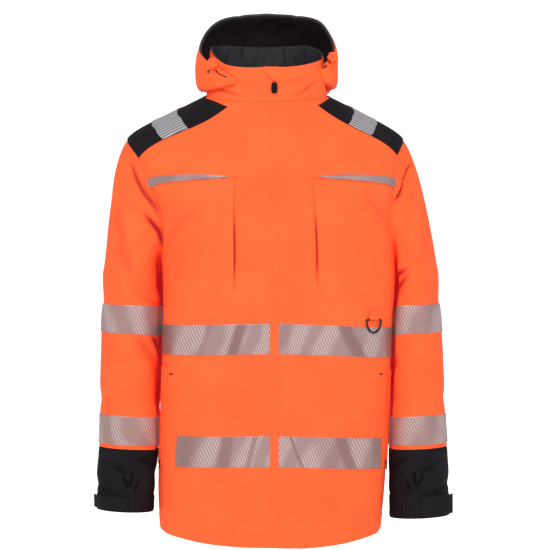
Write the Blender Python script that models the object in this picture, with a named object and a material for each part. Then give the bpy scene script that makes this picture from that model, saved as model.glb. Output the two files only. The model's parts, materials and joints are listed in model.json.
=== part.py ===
"""Hi-vis work jacket, filled out as if worn: a hollow cloth form of sewn pieces.

Metres, +Z up. The wearer faces -Y, so +X is the wearer's left. The origin is the centre
of the neck at shoulder level. Every piece is a thin wall: a grid of points on the form,
given as a height below and a height above the form's surface.
"""

import math

import bpy
import numpy as np

# Cloth
WALL = 0.0016
SEAM_GAP = 0.0003
TAPE_WALL = 0.0010
PATCH_WALL = 0.0012
LINING_WALL = 0.0012

# Body
HEM_Z = -0.759
HEM_DIP = 0.012
CENTRE_FRONT = 3.0
ZIP_X = 0.0073
SQUEEZE_FROM = 46.0
WAIST_TAPE = (-0.635, -0.583)
CHEST_TAPE = (-0.445, -0.394)
POCKET_BOTTOM_Z = -0.364
YOKE_Z = -0.149

# Armhole: an oval in degrees round the body and metres of height
ARMHOLE_Z = -0.182
ARMHOLE_HALF_HEIGHT = 0.1085
ARMHOLE_FRONT = 16.0
ARMHOLE_BACK = 18.0
YOKE_STATION = 77.0
PATCH_STATION = 51.0

# Neck and collar
NECK_MEAN_Z = 0.0015
NECK_RISE = 0.0165
COLLAR_INSET = 0.0008

# Sleeves
CAP_LENGTH = 0.20
BICEP_Z = -0.31
SLEEVE_END_Z = -0.611
SLEEVE_TAPES = ((-0.413, -0.364), (-0.604, -0.555))
SLEEVE_TILT = 0.0025
BODY_CLEARANCE = 0.0095
CAP_EASE = 0.018
CAP_TOP_EASE = {"right": 0.048, "left": 0.020}
CAP_SPREAD = 0.16
UNDERARM_FLARE = 1.0


def table(columns, *rows):
    """One array for each named column."""
    values = np.array(rows, float)
    return {name: values[:, i] for i, name in enumerate(columns.split())}


BODY = table(
    "z half_width front back shift square",
    (-0.790, 0.187, 0.137, 0.132, 0.000, 2.5),
    (-0.690, 0.197, 0.138, 0.130, 0.002, 2.5),
    (-0.560, 0.200, 0.136, 0.127, 0.008, 2.5),
    (-0.430, 0.201, 0.134, 0.125, 0.012, 2.5),
    (-0.290, 0.205, 0.134, 0.130, 0.015, 2.5),
    (-0.200, 0.209, 0.131, 0.136, 0.008, 2.5),
    (-0.150, 0.228, 0.124, 0.135, 0.003, 2.4),
    (-0.110, 0.235, 0.114, 0.130, -0.004, 2.3),
    (-0.0735, 0.2375, 0.102, 0.119, -0.0085, 2.2),
    (-0.051, 0.2050, 0.095, 0.107, -0.008, 2.1),
    (-0.037, 0.1760, 0.091, 0.099, -0.007, 2.1),
    (-0.016, 0.1350, 0.085, 0.089, -0.006, 2.1),
    (0.000, 0.104, 0.081, 0.083, -0.006, 2.1),
    (0.020, 0.088, 0.076, 0.078, -0.006, 2.1),
)

# Where the arm presses the side in, and the body's soft folds. around is degrees from the
# centre front, tilt is degrees from upright, the rest is metres; a negative depth is a trough.
BODY_FOLDS = table(
    "around z tilt half_length width depth",
    (104.0, -0.450, 0.0, 0.280, 0.055, -0.012),
    (-104.0, -0.450, 0.0, 0.280, 0.055, -0.012),
    (-66.0, -0.680, 4.0, 0.110, 0.020, 0.0035),
    (70.0, -0.690, -5.0, 0.100, 0.018, 0.0035),
    (-30.0, -0.690, 8.0, 0.090, 0.030, -0.0030),
    (38.0, -0.700, -8.0, 0.080, 0.028, -0.0030),
    (-58.0, -0.330, 35.0, 0.080, 0.022, -0.0035),
    (60.0, -0.330, -35.0, 0.080, 0.022, -0.0035),
    (150.0, -0.640, 6.0, 0.130, 0.030, -0.0040),
    (-148.0, -0.650, -5.0, 0.120, 0.030, -0.0040),
    (180.0, -0.520, 0.0, 0.160, 0.035, -0.0030),
    (140.0, -0.330, -30.0, 0.090, 0.024, -0.0040),
    (-140.0, -0.330, 30.0, 0.090, 0.024, -0.0040),
)

# Sleeve sections below the armhole: x is away from the body's middle plane.
RIGHT_SLEEVE = table(
    "z x y half_width half_depth",
    (-0.310, 0.2385, 0.010, 0.0530, 0.070),
    (-0.370, 0.2385, 0.010, 0.0540, 0.066),
    (-0.440, 0.2400, 0.006, 0.0545, 0.063),
    (-0.510, 0.2415, 0.000, 0.0545, 0.061),
    (-0.570, 0.2415, -0.008, 0.0535, 0.060),
    (-0.620, 0.2430, -0.015, 0.0540, 0.059),
    (-0.665, 0.2475, -0.021, 0.0525, 0.056),
    (-0.700, 0.2510, -0.025, 0.0480, 0.053),
    (-0.740, 0.2510, -0.028, 0.0470, 0.052),
)
LEFT_SLEEVE = table(
    "z x y half_width half_depth",
    (-0.310, 0.2440, 0.012, 0.0500, 0.070),
    (-0.370, 0.2460, 0.012, 0.0510, 0.066),
    (-0.440, 0.248, 0.008, 0.053, 0.063),
    (-0.510, 0.251, 0.002, 0.053, 0.061),
    (-0.570, 0.254, -0.005, 0.051, 0.060),
    (-0.620, 0.257, -0.011, 0.051, 0.058),
    (-0.665, 0.258, -0.016, 0.052, 0.056),
    (-0.700, 0.260, -0.020, 0.0500, 0.053),
    (-0.740, 0.260, -0.023, 0.0500, 0.053),
)

# Sleeve creases: around is degrees from the outside of the arm, by way of its front.
SLEEVE_FOLDS = table(
    "around z tilt half_length width depth",
    (60.0, -0.230, -35.0, 0.070, 0.016, -0.0050),
    (95.0, -0.270, -30.0, 0.060, 0.014, -0.0045),
    (35.0, -0.330, -50.0, 0.060, 0.016, -0.0030),
    (120.0, -0.345, -65.0, 0.050, 0.013, -0.0035),
    (70.0, -0.470, -70.0, 0.055, 0.016, -0.0040),
    (110.0, -0.510, 65.0, 0.050, 0.015, -0.0035),
    (30.0, -0.530, 80.0, 0.050, 0.014, -0.0030),
    (250.0, -0.300, 40.0, 0.070, 0.018, -0.0050),
    (290.0, -0.400, 60.0, 0.060, 0.018, -0.0035),
    (260.0, -0.480, 75.0, 0.060, 0.016, -0.0045),
    (230.0, -0.530, -70.0, 0.050, 0.015, -0.0035),
)
FOREARM_FOLDS = table(
    "around z tilt half_length width depth",
    (70.0, -0.645, 75.0, 0.050, 0.012, -0.0035),
    (20.0, -0.668, -70.0, 0.045, 0.011, -0.0030),
    (120.0, -0.672, 60.0, 0.040, 0.011, -0.0030),
    (240.0, -0.650, -75.0, 0.050, 0.012, -0.0035),
    (290.0, -0.672, 70.0, 0.045, 0.011, -0.0030),
)


def read(rows, column, at, key="z"):
    """The smooth curve through one column of a table, read at any key."""
    knots, values = rows[key], rows[column]
    slopes = np.gradient(values, knots)
    at = np.clip(at, knots.min(), knots.max())
    if knots[0] > knots[-1]:
        knots, values, slopes = knots[::-1], values[::-1], slopes[::-1]
    i = np.clip(np.searchsorted(knots, at) - 1, 0, len(knots) - 2)
    step = knots[i + 1] - knots[i]
    t = (at - knots[i]) / step
    start = values[i] * (1 + 2 * t) * (1 - t) ** 2 + slopes[i] * step * t * (1 - t) ** 2
    end = values[i + 1] * t**2 * (3 - 2 * t) - slopes[i + 1] * step * t**2 * (1 - t)
    return start + end


def fold_height(folds, around, z, radius):
    """The height of all soft ridges and troughs at points on the unrolled cloth."""
    total = np.zeros(np.broadcast(around, z).shape)
    for i in range(len(folds["z"])):
        turn = (around - folds["around"][i] + 180.0) % 360.0 - 180.0
        side = np.radians(turn) * radius
        rise = z - folds["z"][i]
        tilt = math.radians(folds["tilt"][i])
        across = side * math.cos(tilt) + rise * math.sin(tilt)
        along = rise * math.cos(tilt) - side * math.sin(tilt)
        shape = np.exp(-((across / folds["width"][i]) ** 2))
        total += folds["depth"][i] * shape * np.exp(-((along / folds["half_length"][i]) ** 4))
    return total


def section(rows, around, z, grow=0.0):
    """A rounded section at each height; around is degrees from the front, plus to +X."""
    turn = np.radians(around)
    half = read(rows, "half_width", z)
    depth = np.where(np.cos(turn) > 0, read(rows, "front", z), read(rows, "back", z))
    square = read(rows, "square", z)
    reach = np.abs(np.sin(turn) / half) ** square + np.abs(np.cos(turn) / depth) ** square
    radius = reach ** (-1 / square) + grow
    x = read(rows, "shift", z) + radius * np.sin(turn)
    return np.stack(np.broadcast_arrays(x, -radius * np.cos(turn), z), axis=-1)


def body(around, z):
    return section(BODY, around, z, fold_height(BODY_FOLDS, around, z, 0.18))


def lift(surface, a, b, height):
    """The surface's points moved out along its normals."""
    step_a, step_b = 0.05, 0.0002
    slope_a = surface(a + step_a, b) - surface(a - step_a, b)
    slope_b = surface(a, b + step_b) - surface(a, b - step_b)
    normal = np.cross(slope_a, slope_b)
    normal /= np.linalg.norm(normal, axis=-1, keepdims=True)
    return surface(a, b) + normal * np.asarray(height)[..., None]


def drawn_in(points, sides, amount=SEAM_GAP / 2):
    """A grid of points whose named sides (bottom, top, first, last) are pulled in."""
    moved = points.copy()
    for side, edge, inner in (
        ("bottom", np.s_[0], np.s_[1]),
        ("top", np.s_[-1], np.s_[-2]),
        ("first", np.s_[:, 0], np.s_[:, 1]),
        ("last", np.s_[:, -1], np.s_[:, -2]),
    ):
        if side in sides:
            way = points[inner] - points[edge]
            moved[edge] += amount * way / np.linalg.norm(way, axis=-1, keepdims=True)
    return moved


def material(name, colour, roughness, metallic=0.0):
    made = bpy.data.materials.new(name)
    made.use_nodes = True
    shader = made.node_tree.nodes["Principled BSDF"]
    shader.inputs["Base Color"].default_value = (*colour, 1.0)
    shader.inputs["Roughness"].default_value = roughness
    shader.inputs["Metallic"].default_value = metallic
    return made


def new_object(name, points, faces, finish):
    """A mesh object whose faces are turned to point outwards."""
    points = np.asarray(points, float)
    corners = np.array([points[list(face[:3])] for face in faces])
    if len(faces[0]) == 3 and np.linalg.det(corners).sum() < 0:
        faces = [face[::-1] for face in faces]
    mesh = bpy.data.meshes.new(name)
    mesh.from_pydata(points.tolist(), [], [list(map(int, face)) for face in faces])
    mesh.materials.append(finish)
    mesh.shade_smooth()
    mesh.set_sharp_from_angle(angle=math.radians(40))
    made = bpy.data.objects.new(name, mesh)
    bpy.context.collection.objects.link(made)
    return made


def wall(name, inner, outer, finish, ring=False):
    """A closed wall between two grids of points; a ring's last column meets its first."""
    rows, columns = inner.shape[:2]
    count = rows * columns
    index = np.arange(count).reshape(rows, columns)
    if ring:
        index = np.concatenate([index, index[:, :1]], axis=1)
    faces = []
    low, right = index[:-1, :-1].ravel(), index[:-1, 1:].ravel()
    top, far = index[1:, :-1].ravel(), index[1:, 1:].ravel()
    place = inner.reshape(-1, 3)
    for a, b, c, d in zip(low, right, far, top):
        if np.linalg.norm(place[a] - place[c]) < np.linalg.norm(place[b] - place[d]):
            halves = [(a, b, c), (a, c, d)]
        else:
            halves = [(a, b, d), (b, c, d)]
        faces += halves
        faces += [tuple(corner + count for corner in half[::-1]) for half in halves]
    rims = [index[0], index[-1][::-1]]
    if not ring:
        rims += [index[:, -1], index[:, 0][::-1]]
    for rim in rims:
        for a, b in zip(rim[:-1], rim[1:]):
            faces += [(b, a, a + count), (b, a + count, b + count)]
    points = np.concatenate([inner.reshape(-1, 3), outer.reshape(-1, 3)])
    return new_object(name, points, faces, finish)


def panel(name, surface, a, b, low, high, finish, sides="", ring=False, amount=SEAM_GAP / 2):
    """A wall on a surface, from one height to another, with its sides pulled in at seams."""
    inner = drawn_in(lift(surface, a, b, low), sides, amount)
    outer = drawn_in(lift(surface, a, b, high), sides, amount)
    return wall(name, inner, outer, finish, ring)


for thing in list(bpy.data.objects):
    bpy.data.objects.remove(thing, do_unlink=True)

ORANGE = material("orange shell", (1.0, 0.16, 0.03), 0.6)
BLACK = material("black fabric", (0.012, 0.011, 0.013), 0.7)
LINING = material("dark lining", (0.03, 0.028, 0.032), 0.8)
TAPE = material("reflective tape", (0.42, 0.33, 0.31), 0.4)
METAL = material("dark metal", (0.08, 0.08, 0.085), 0.35, 1.0)
RUBBER = material("moulded black", (0.01, 0.01, 0.01), 0.5)


# ---------------------------------------------------------------- body panels

# Columns of each front, degrees from the centre front: placket, pocket mouth, pocket back, side.
RIGHT_COLUMNS = np.array([3.0, 0.1, -9.0, -18.0, -26.6, -36.0, -45.0, -52.5, -60.0, -70.0, -80.0, -90.0])
LEFT_COLUMNS = np.array([3.0, 5.9, 14.0, 22.0, 30.0, 39.5, 48.6, 58.5, 68.0, 75.0, 82.5, 90.0])
BACK_COLUMNS = np.linspace(90.0, 270.0, 17)
YOKE_SHARES = np.array([0.0, 0.11, 0.22, 0.33, 0.43, 0.53, 0.64, 0.76, 0.88, 1.0])
PATCH_SHARES = np.array([0.0, 0.206, 0.32, 0.443, 0.50, 0.565, 0.633, 0.76, 0.88, 1.0])
SHOULDER_SHARES = {
    "right": np.array([0.0, 0.050, 0.150, 0.247, 0.330, 0.420, 0.506, 0.680, 0.840, 1.0]),
    "left": np.array([0.0, 0.085, 0.145, 0.205, 0.290, 0.375, 0.460, 0.650, 0.820, 1.0]),
}
TAPE_START, POCKET_MOUTH, POCKET_BACK, WAIST_TAPE_END = 1, 4, 6, 8
HAND_POCKET = slice(9, 11)

LOWER_ROWS = np.array([
    HEM_Z, -0.700, *WAIST_TAPE, -0.514, *CHEST_TAPE, POCKET_BOTTOM_Z, -0.330,
])
WAIST_ROW, CHEST_ROW, POCKET_ROW = 2, 5, 7
ARMPIT_STEPS, YOKE_STEPS, PATCH_STEPS, PLACKET_STEPS = 5, 4, 3, 2
TAPER_STATION = 68.3
# How high the tapered tape's top edge, and the yoke's first row with it, stands over the yoke seam.
TAPER = table(
    "share rise",
    (0.00, 0.0450),
    (0.22, 0.0140),
    (0.33, 0.0020),
    (0.53, 0.0065),
    (0.76, 0.0110),
    (0.88, 0.0132),
)

LOWER_STATIONS = np.linspace(180.0, YOKE_STATION, ARMPIT_STEPS + 1)
YOKE_STATIONS = np.concatenate([
    [YOKE_STATION],
    np.linspace(TAPER_STATION, PATCH_STATION, YOKE_STEPS),
    np.linspace(PATCH_STATION, 0.0, PATCH_STEPS + 1)[1:],
])


def armhole(station, back=False):
    """Degrees round the body from its side, and height, at a station (0 top, 180 armpit)."""
    turn = np.radians(station)
    bulge = ARMHOLE_BACK if back else ARMHOLE_FRONT
    return bulge * np.sin(turn) ** 0.9, ARMHOLE_Z + ARMHOLE_HALF_HEIGHT * np.cos(turn)


def hang(around, z):
    """The height of a level line as the cloth hangs: the hem dips front and back, tapes at the sides."""
    turn = np.radians(around)
    hem = np.clip((-0.64 - z) / (-0.64 - HEM_Z), 0, 1)
    low = np.clip((-0.34 - z) / 0.05, 0, 1) * np.clip((z + 0.70) / 0.05, 0, 1)
    side = np.sin(turn) ** 2
    dip = HEM_DIP * (np.cos(2 * turn) + 0.45 * np.sin(2 * turn) ** 2 + 0.25 * np.clip(np.sin(2 * turn), 0, 1))
    return z - hem * dip - low * side * (0.006 + 0.003 * np.sin(turn))


def lower_grid(columns, back=False):
    """Around and height of each point of a panel from the hem to the yoke seam."""
    heights = np.concatenate([LOWER_ROWS, np.linspace(-0.300, YOKE_Z, ARMPIT_STEPS + 1)])
    around = np.tile(columns, (len(heights), 1))
    z = hang(around, heights[:, None])
    first = len(LOWER_ROWS)
    side_in, side_z = armhole(LOWER_STATIONS, back)
    for i in range(ARMPIT_STEPS + 1):
        row = first + i
        if back:
            half = columns - 180.0
            squeeze = 1 - side_in[i] / 90.0
            share = np.clip((np.abs(half) - 30.0) / 60.0, 0, 1)
            around[row] = 180.0 + half * (1 + (squeeze - 1) * share)
        else:
            edge = columns[-1]
            share = np.clip((np.abs(columns) - SQUEEZE_FROM) / (90.0 - SQUEEZE_FROM), 0, 1)
            around[row] = columns - np.sign(edge) * side_in[i] * share
            half = columns
        share = np.clip((np.abs(half) - 35.0) / 55.0, 0, 1)
        z[row] += (side_z[i] - z[row]) * share**1.5
    return around, z


def straight_zip(grid):
    """A front's grid turned a little at each height, so that its centre edge is upright."""
    around, z = grid
    aim = np.degrees(np.arctan((ZIP_X - read(BODY, "shift", z)) / read(BODY, "front", z)))
    return around + (aim - CENTRE_FRONT) * np.clip(1 - np.abs(around) / 60.0, 0, 1), z


def neckline(around):
    return NECK_MEAN_Z - NECK_RISE * np.cos(np.radians(around))


def yoke_grid(seam_around, seam_z, back=False):
    """A patch from the yoke seam to the shoulder seam, with the neckline and the armhole as its sides."""
    edge = np.sign(seam_around[-1] - seam_around[0]) if back else np.sign(seam_around[-1])
    shoulder = 90.0 * edge if not back else 180.0 + 90.0 * edge
    start = seam_around[0]
    rows = YOKE_STEPS + PATCH_STEPS + 1
    t = np.linspace(0, 1, rows)
    s = (seam_around - start) / (seam_around[-1] - start)
    side_in, side_z = armhole(YOKE_STATIONS, back)
    right = np.stack([shoulder - (edge * side_in), side_z], -1)
    neck = np.concatenate([np.full(PLACKET_STEPS, start), np.linspace(start, shoulder, rows - PLACKET_STEPS)])
    left = np.stack([neck, neckline(neck)], -1)
    left[:PLACKET_STEPS + 1, 1] = np.linspace(seam_z[0], neckline(start), PLACKET_STEPS + 1)
    bottom = np.stack([seam_around, seam_z], -1)
    top = np.stack([np.full(len(s), shoulder), left[-1, 1] + s * (side_z[-1] - left[-1, 1])], -1)
    s, t = s[None, :, None], t[:, None, None]
    corners = (1 - s) * (1 - t) * bottom[0] + s * (1 - t) * bottom[-1]
    corners = corners + (1 - s) * t * top[0] + s * t * top[-1]
    grid = (1 - t) * bottom + t * top + (1 - s) * left[:, None] + s * right[:, None] - corners
    rise = np.interp(s[0, :-1, 0], TAPER["share"], TAPER["rise"])
    share = rise / (grid[1, :-1, 1] - grid[0, :-1, 1])
    grid[1, :-1] = grid[0, :-1] + share[:, None] * (grid[1, :-1] - grid[0, :-1])
    own = SHOULDER_SHARES["right" if (edge < 0) != back else "left"]
    for row in range(2, rows):
        low = np.clip(row / YOKE_STEPS, 0, 1)
        high = np.clip((row - YOKE_STEPS) / PATCH_STEPS, 0, 1)
        at = YOKE_SHARES + (PATCH_SHARES - YOKE_SHARES) * low + (own - PATCH_SHARES) * high
        grid[row] = np.stack([np.interp(at, YOKE_SHARES, grid[row, :, axis]) for axis in (0, 1)], -1)
    return grid[..., 0], grid[..., 1]


def yoke_from(start, end, back=False):
    """A yoke whose seam follows the lower panel's top edge, from its middle to the armhole."""
    around, z = lower_grid(start + YOKE_SHARES * (end - start), back)
    return yoke_grid(around[-1], z[-1], back)


PANELS = {
    "front_right": straight_zip(lower_grid(RIGHT_COLUMNS)),
    "front_left": straight_zip(lower_grid(LEFT_COLUMNS)),
    "back": lower_grid(BACK_COLUMNS, back=True),
    "yoke_front_right": straight_zip(yoke_from(CENTRE_FRONT, -90.0)),
    "yoke_front_left": straight_zip(yoke_from(CENTRE_FRONT, 90.0)),
    "yoke_back_right": yoke_from(180.0, 270.0, back=True),
    "yoke_back_left": yoke_from(180.0, 90.0, back=True),
}
for name, grid in PANELS.items():
    sides = "bottom top first last" if "yoke" in name else "top first last"
    panel(name, body, *grid, 0.0, WALL, ORANGE, sides)


# ---------------------------------------------------------------- tapes, patches and pockets on the body

ON_PANEL = WALL + 0.0005
POCKET_WALL = 0.0014
HAND_POCKET_DROP = 0.032
POCKET_GAPE = table(
    "z gape",
    (-0.365, 0.000),
    (-0.330, 0.001),
    (-0.290, 0.006),
    (-0.240, 0.0055),
    (-0.190, 0.002),
    (-0.149, 0.000),
)
TIP_COLUMN = 3
PATCH_START = 1
INSERT_COLUMNS = slice(3, 7)


def part_of(grid, rows, columns):
    return tuple(values[rows, columns] for values in grid)


for side in ("right", "left"):
    grid = PANELS["front_" + side]
    for name, row, end in (("tape_waist_", WAIST_ROW, WAIST_TAPE_END), ("tape_chest_", CHEST_ROW, None)):
        columns = slice(TAPE_START, None if end is None else end + 1)
        strip = part_of(grid, slice(row, row + 2), columns)
        edges = "last" if end is None else ""
        panel(name + side, body, *strip, ON_PANEL, ON_PANEL + TAPE_WALL, TAPE, edges, amount=SEAM_GAP)
    # The strip round the hand pocket's upright zip, from the waist tape to its upper bar tack.
    strip = part_of(grid, slice(WAIST_ROW, CHEST_ROW + 1), HAND_POCKET)
    top = ON_PANEL + PATCH_WALL
    panel("pocket_side_" + side, body, *strip, ON_PANEL, top, ORANGE, "top", amount=HAND_POCKET_DROP)

for name, row in (("tape_waist_back", WAIST_ROW), ("tape_chest_back", CHEST_ROW)):
    strip = part_of(PANELS["back"], slice(row, row + 2), slice(None))
    panel(name, body, *strip, ON_PANEL, ON_PANEL + TAPE_WALL, TAPE, "first last", amount=SEAM_GAP)


def pocket(name, grid):
    """A chest pocket's facing: sewn down at the yoke seam and its back edge, gaping at its mouth."""
    around, z = part_of(grid, slice(POCKET_ROW, None), slice(POCKET_MOUTH, POCKET_BACK + 1))
    gape = np.zeros(around.shape)
    gape[:, 0] = read(POCKET_GAPE, "gape", z[:, 0])
    gape[:, 1] = gape[:, 0] * 0.35
    inner = lift(body, around, z, ON_PANEL + gape)
    outer = lift(body, around, z, ON_PANEL + gape + POCKET_WALL)
    for points in (inner, outer):
        points[0, 0] += 0.45 * (points[0, 1] - points[0, 0]) + 0.15 * (points[1, 0] - points[0, 0])
    edges = "top"
    return wall(name, drawn_in(inner, edges), drawn_in(outer, edges), ORANGE)


for side in ("right", "left"):
    pocket("pocket_chest_" + side, PANELS["front_" + side])


def shoulder_strip(front, back, columns):
    """Around and height across the shoulder seam, from the front yoke to the back yoke."""
    strip = []
    for turn, (one, other) in enumerate(zip(front, back)):
        behind = other[YOKE_STEPS:-1, columns][::-1]
        if turn == 0 and one[-1, -1] < 0:
            behind = behind - 360.0
        strip.append(np.concatenate([one[YOKE_STEPS:, columns], behind]))
    return strip


ON_PATCH = ON_PANEL + PATCH_WALL + SEAM_GAP
for side in ("right", "left"):
    front, back = PANELS["yoke_front_" + side], PANELS["yoke_back_" + side]
    for name, grid in (("front", front), ("back", back)):
        strip = part_of(grid, slice(0, 2), slice(TIP_COLUMN, None))
        heights = (ON_PANEL, ON_PANEL + TAPE_WALL)
        panel(f"tape_yoke_{name}_{side}", body, *strip, *heights, TAPE, "bottom last", amount=SEAM_GAP)
    patch = shoulder_strip(front, back, slice(PATCH_START, None))
    top = ON_PANEL + PATCH_WALL
    panel("shoulder_patch_" + side, body, *patch, ON_PANEL, top, BLACK, "last", amount=SEAM_GAP)
    insert = shoulder_strip(front, back, INSERT_COLUMNS)
    panel("tape_shoulder_" + side, body, *insert, ON_PATCH, ON_PATCH + TAPE_WALL, TAPE)


# ---------------------------------------------------------------- sleeves

CAP_ROWS = (0.0, 0.07, 0.18, 0.32, 0.48, 0.65, 0.82, 1.0)
SLEEVE_ROWS = (-0.337, *SLEEVE_TAPES[0][::-1], -0.460, -0.508, *SLEEVE_TAPES[1][::-1], SLEEVE_END_Z)
FOREARM_ROWS = (SLEEVE_END_Z, -0.631, -0.651, -0.671)
CUFF_TOP_Z = {"right": -0.690, "left": -0.690}
CUFF_END_Z = {"right": -0.718, "left": -0.729}
HALF_STATIONS = np.concatenate([YOKE_STATIONS[::-1], LOWER_STATIONS[::-1][1:]])
STATIONS = np.concatenate([HALF_STATIONS, 360.0 - HALF_STATIONS[-2:0:-1]])


def down(z):
    """Distance down a sleeve at a height below the bicep."""
    return CAP_LENGTH + BICEP_Z - z


def armhole_point(sign, station):
    """A point of the armhole; stations over 180 are at the back."""
    station = np.mod(station, 360.0)
    forward, height = armhole(np.minimum(station, 360.0 - station))
    behind = armhole(np.minimum(station, 360.0 - station), back=True)[0]
    around = 90.0 + np.where(station > 180.0, behind, -forward)
    return sign * around, height


def clear_of_body(points, clearance):
    """Points moved straight out from the body's middle until they clear it."""
    z = np.minimum(points[..., 2], -0.285)
    x = points[..., 0] - read(BODY, "shift", z)
    around = np.degrees(np.arctan2(x, -points[..., 1]))
    edge = body(around, z)
    edge_reach = np.hypot(edge[..., 0] - read(BODY, "shift", z), edge[..., 1])
    reach = np.hypot(x, points[..., 1])
    short = edge_reach + clearance - reach
    push = 0.5 * (short + np.sqrt(short**2 + 0.003**2)) / reach
    moved = points.copy()
    moved[..., 0] += push * x
    moved[..., 1] += push * points[..., 1]
    return moved


def sleeve_surface(sign, rows, top_ease):
    """A sleeve: from the armhole it bends over a cap and then hangs through the rows' sections."""

    def ring(station, z):
        turn = np.radians(station)
        x = sign * (read(rows, "x", z) + read(rows, "half_width", z) * np.cos(turn))
        y = read(rows, "y", z) - read(rows, "half_depth", z) * np.sin(turn)
        tilted = z + SLEEVE_TILT * np.cos(turn)
        points = np.stack(np.broadcast_arrays(x, y, tilted), -1)
        return clear_of_body(points, BODY_CLEARANCE)

    def surface(station, drop):
        station, drop = np.broadcast_arrays(station, drop)
        around, z = armhole_point(sign, station)
        start = body(around, z)
        out = lift(body, around, z, np.ones(around.shape)) - start
        ahead = body(*armhole_point(sign, station + 0.5)) - body(*armhole_point(sign, station - 0.5))
        ahead /= np.linalg.norm(ahead, axis=-1, keepdims=True)
        under = (0.5 - 0.5 * np.cos(np.radians(station)))[..., None] ** 2
        leave = np.cross(out, ahead) * sign + UNDERARM_FLARE * under * out
        bicep = ring(station, np.full(station.shape, BICEP_Z))
        span = np.linalg.norm(bicep - start, axis=-1, keepdims=True)
        t = (drop / CAP_LENGTH)[..., None]
        ease = CAP_EASE + top_ease * np.clip(np.cos(np.radians(station)), 0, 1)[..., None]
        cap = start * (1 + 2 * t) * (1 - t) ** 2 + leave * (ease + 0.42 * span) * t * (1 - t) ** 2
        arrive = np.stack([-sign * CAP_SPREAD * np.clip(np.cos(np.radians(station)), 0, 1), 0 * z, 0.9 + 0 * z], -1)
        cap = cap + bicep * t**2 * (3 - 2 * t) + arrive * span * t**2 * (1 - t)
        below = ring(station, BICEP_Z + CAP_LENGTH - np.maximum(drop, CAP_LENGTH))
        points = np.where(t < 1, cap, below)
        turn = np.radians(station)
        side = np.stack([sign * np.cos(turn), -np.sin(turn), np.zeros(turn.shape)], -1)
        side = out * (1 - np.clip(t, 0, 1)) + side * np.clip(t, 0, 1)
        height = fold_height(SLEEVE_FOLDS, station, points[..., 2], 0.058)
        height = height + fold_height(FOREARM_FOLDS, station, points[..., 2], 0.055)
        height = height * np.clip(drop / 0.05, 0, 1) * np.clip((points[..., 2] + 0.692) / 0.015, 0, 1)
        return points + side * height[..., None]

    return surface


def sleeve_grid(drops, stations=STATIONS):
    station, drop = np.meshgrid(stations, np.array(drops))
    return station, drop


CUFF_STATIONS = np.arange(0.0, 360.0, 360.0 / 44)
GATHER = 0.0011
TAB_STATIONS = {"right": (100.0, 75.0, 52.0, 30.0, 8.0), "left": (92.0, 70.0, 50.0, 30.0, 12.0)}
TAB_LIFT = {"right": (0.0, 0.0, 0.0, 0.0, 0.001), "left": (0.0, 0.0, 0.0, 0.0005, 0.003)}
TAB_INSET, TAB_WALL = 0.003, 0.0024

SLEEVES = {}
for side, sign, rows in (("right", -1, RIGHT_SLEEVE), ("left", 1, LEFT_SLEEVE)):
    surface = sleeve_surface(sign, rows, CAP_TOP_EASE[side])
    SLEEVES[side] = surface
    drops = [CAP_LENGTH * t for t in CAP_ROWS] + [down(z) for z in SLEEVE_ROWS]
    station, drop = sleeve_grid(drops)
    layers = [lift(surface, station, drop, np.full(station.shape, sign * d)) for d in (0.0, WALL)]
    for points, height in zip(layers, (0.0, WALL)):
        points[0] = lift(body, *armhole_point(sign, STATIONS), np.full(STATIONS.shape, height))
    layers = [drawn_in(drawn_in(points, "bottom", SEAM_GAP), "top") for points in layers]
    wall("sleeve_" + side, *layers, ORANGE, ring=True)
    forearm = [down(z) for z in (*FOREARM_ROWS, CUFF_TOP_Z[side])]
    panel("forearm_" + side, surface, *sleeve_grid(forearm), 0.0, sign * WALL, BLACK, "bottom top", ring=True)
    for name, span in zip(("upper", "lower"), SLEEVE_TAPES):
        around = sleeve_grid([down(z) for z in span[::-1]])
        heights = (sign * ON_PANEL, sign * (ON_PANEL + TAPE_WALL))
        panel(f"tape_sleeve_{name}_{side}", surface, *around, *heights, TAPE, ring=True)

    top, end = down(CUFF_TOP_Z[side]), down(CUFF_END_Z[side])
    station, drop = sleeve_grid(np.linspace(top, end, 4), CUFF_STATIONS)
    elastic = np.clip((np.cos(np.radians(station - 200.0)) + 0.25) / 0.3, 0, 1)
    gathers = GATHER * elastic * np.where(np.arange(len(CUFF_STATIONS)) % 2, 1.0, 0.0)
    inner = drawn_in(lift(surface, station, drop, np.zeros(station.shape)), "bottom")
    outer = drawn_in(lift(surface, station, drop, sign * (WALL + gathers)), "bottom")
    wall("cuff_" + side, inner, outer, BLACK, ring=True)

    station, drop = sleeve_grid((top + TAB_INSET, end - TAB_INSET), TAB_STATIONS[side])
    lifted = ON_PANEL + 0.0014 + np.tile(TAB_LIFT[side], (2, 1))
    inner = lift(surface, station, drop, sign * lifted)
    outer = lift(surface, station, drop, sign * (lifted + TAB_WALL))
    wall("cuff_tab_" + side, inner, outer, BLACK)


# ---------------------------------------------------------------- collar

# The collar's top edge: around is degrees from the centre front.
COLLAR_TOP = table(
    "around radius z",
    (-180.0, 0.0760, 0.0930),
    (-145.0, 0.0840, 0.0935),
    (-115.0, 0.0990, 0.0920),
    (-98.0, 0.0990, 0.0870),
    (-80.0, 0.0945, 0.0730),
    (-55.0, 0.0865, 0.0525),
    (-30.0, 0.0800, 0.0455),
    (0.0, 0.0790, 0.0450),
    (30.0, 0.0800, 0.0465),
    (55.0, 0.0880, 0.0530),
    (78.0, 0.0970, 0.0640),
    (100.0, 0.0980, 0.0790),
    (118.0, 0.0880, 0.0910),
    (145.0, 0.0790, 0.0940),
    (180.0, 0.0760, 0.0930),
)
COLLAR_BULGE = 0.004
COLLAR_SHARES = (0.0, 0.3, 0.65, 1.0)
NECK_SHIFT = -0.006
LINING_FROM_ZIP = 0.0075

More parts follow.
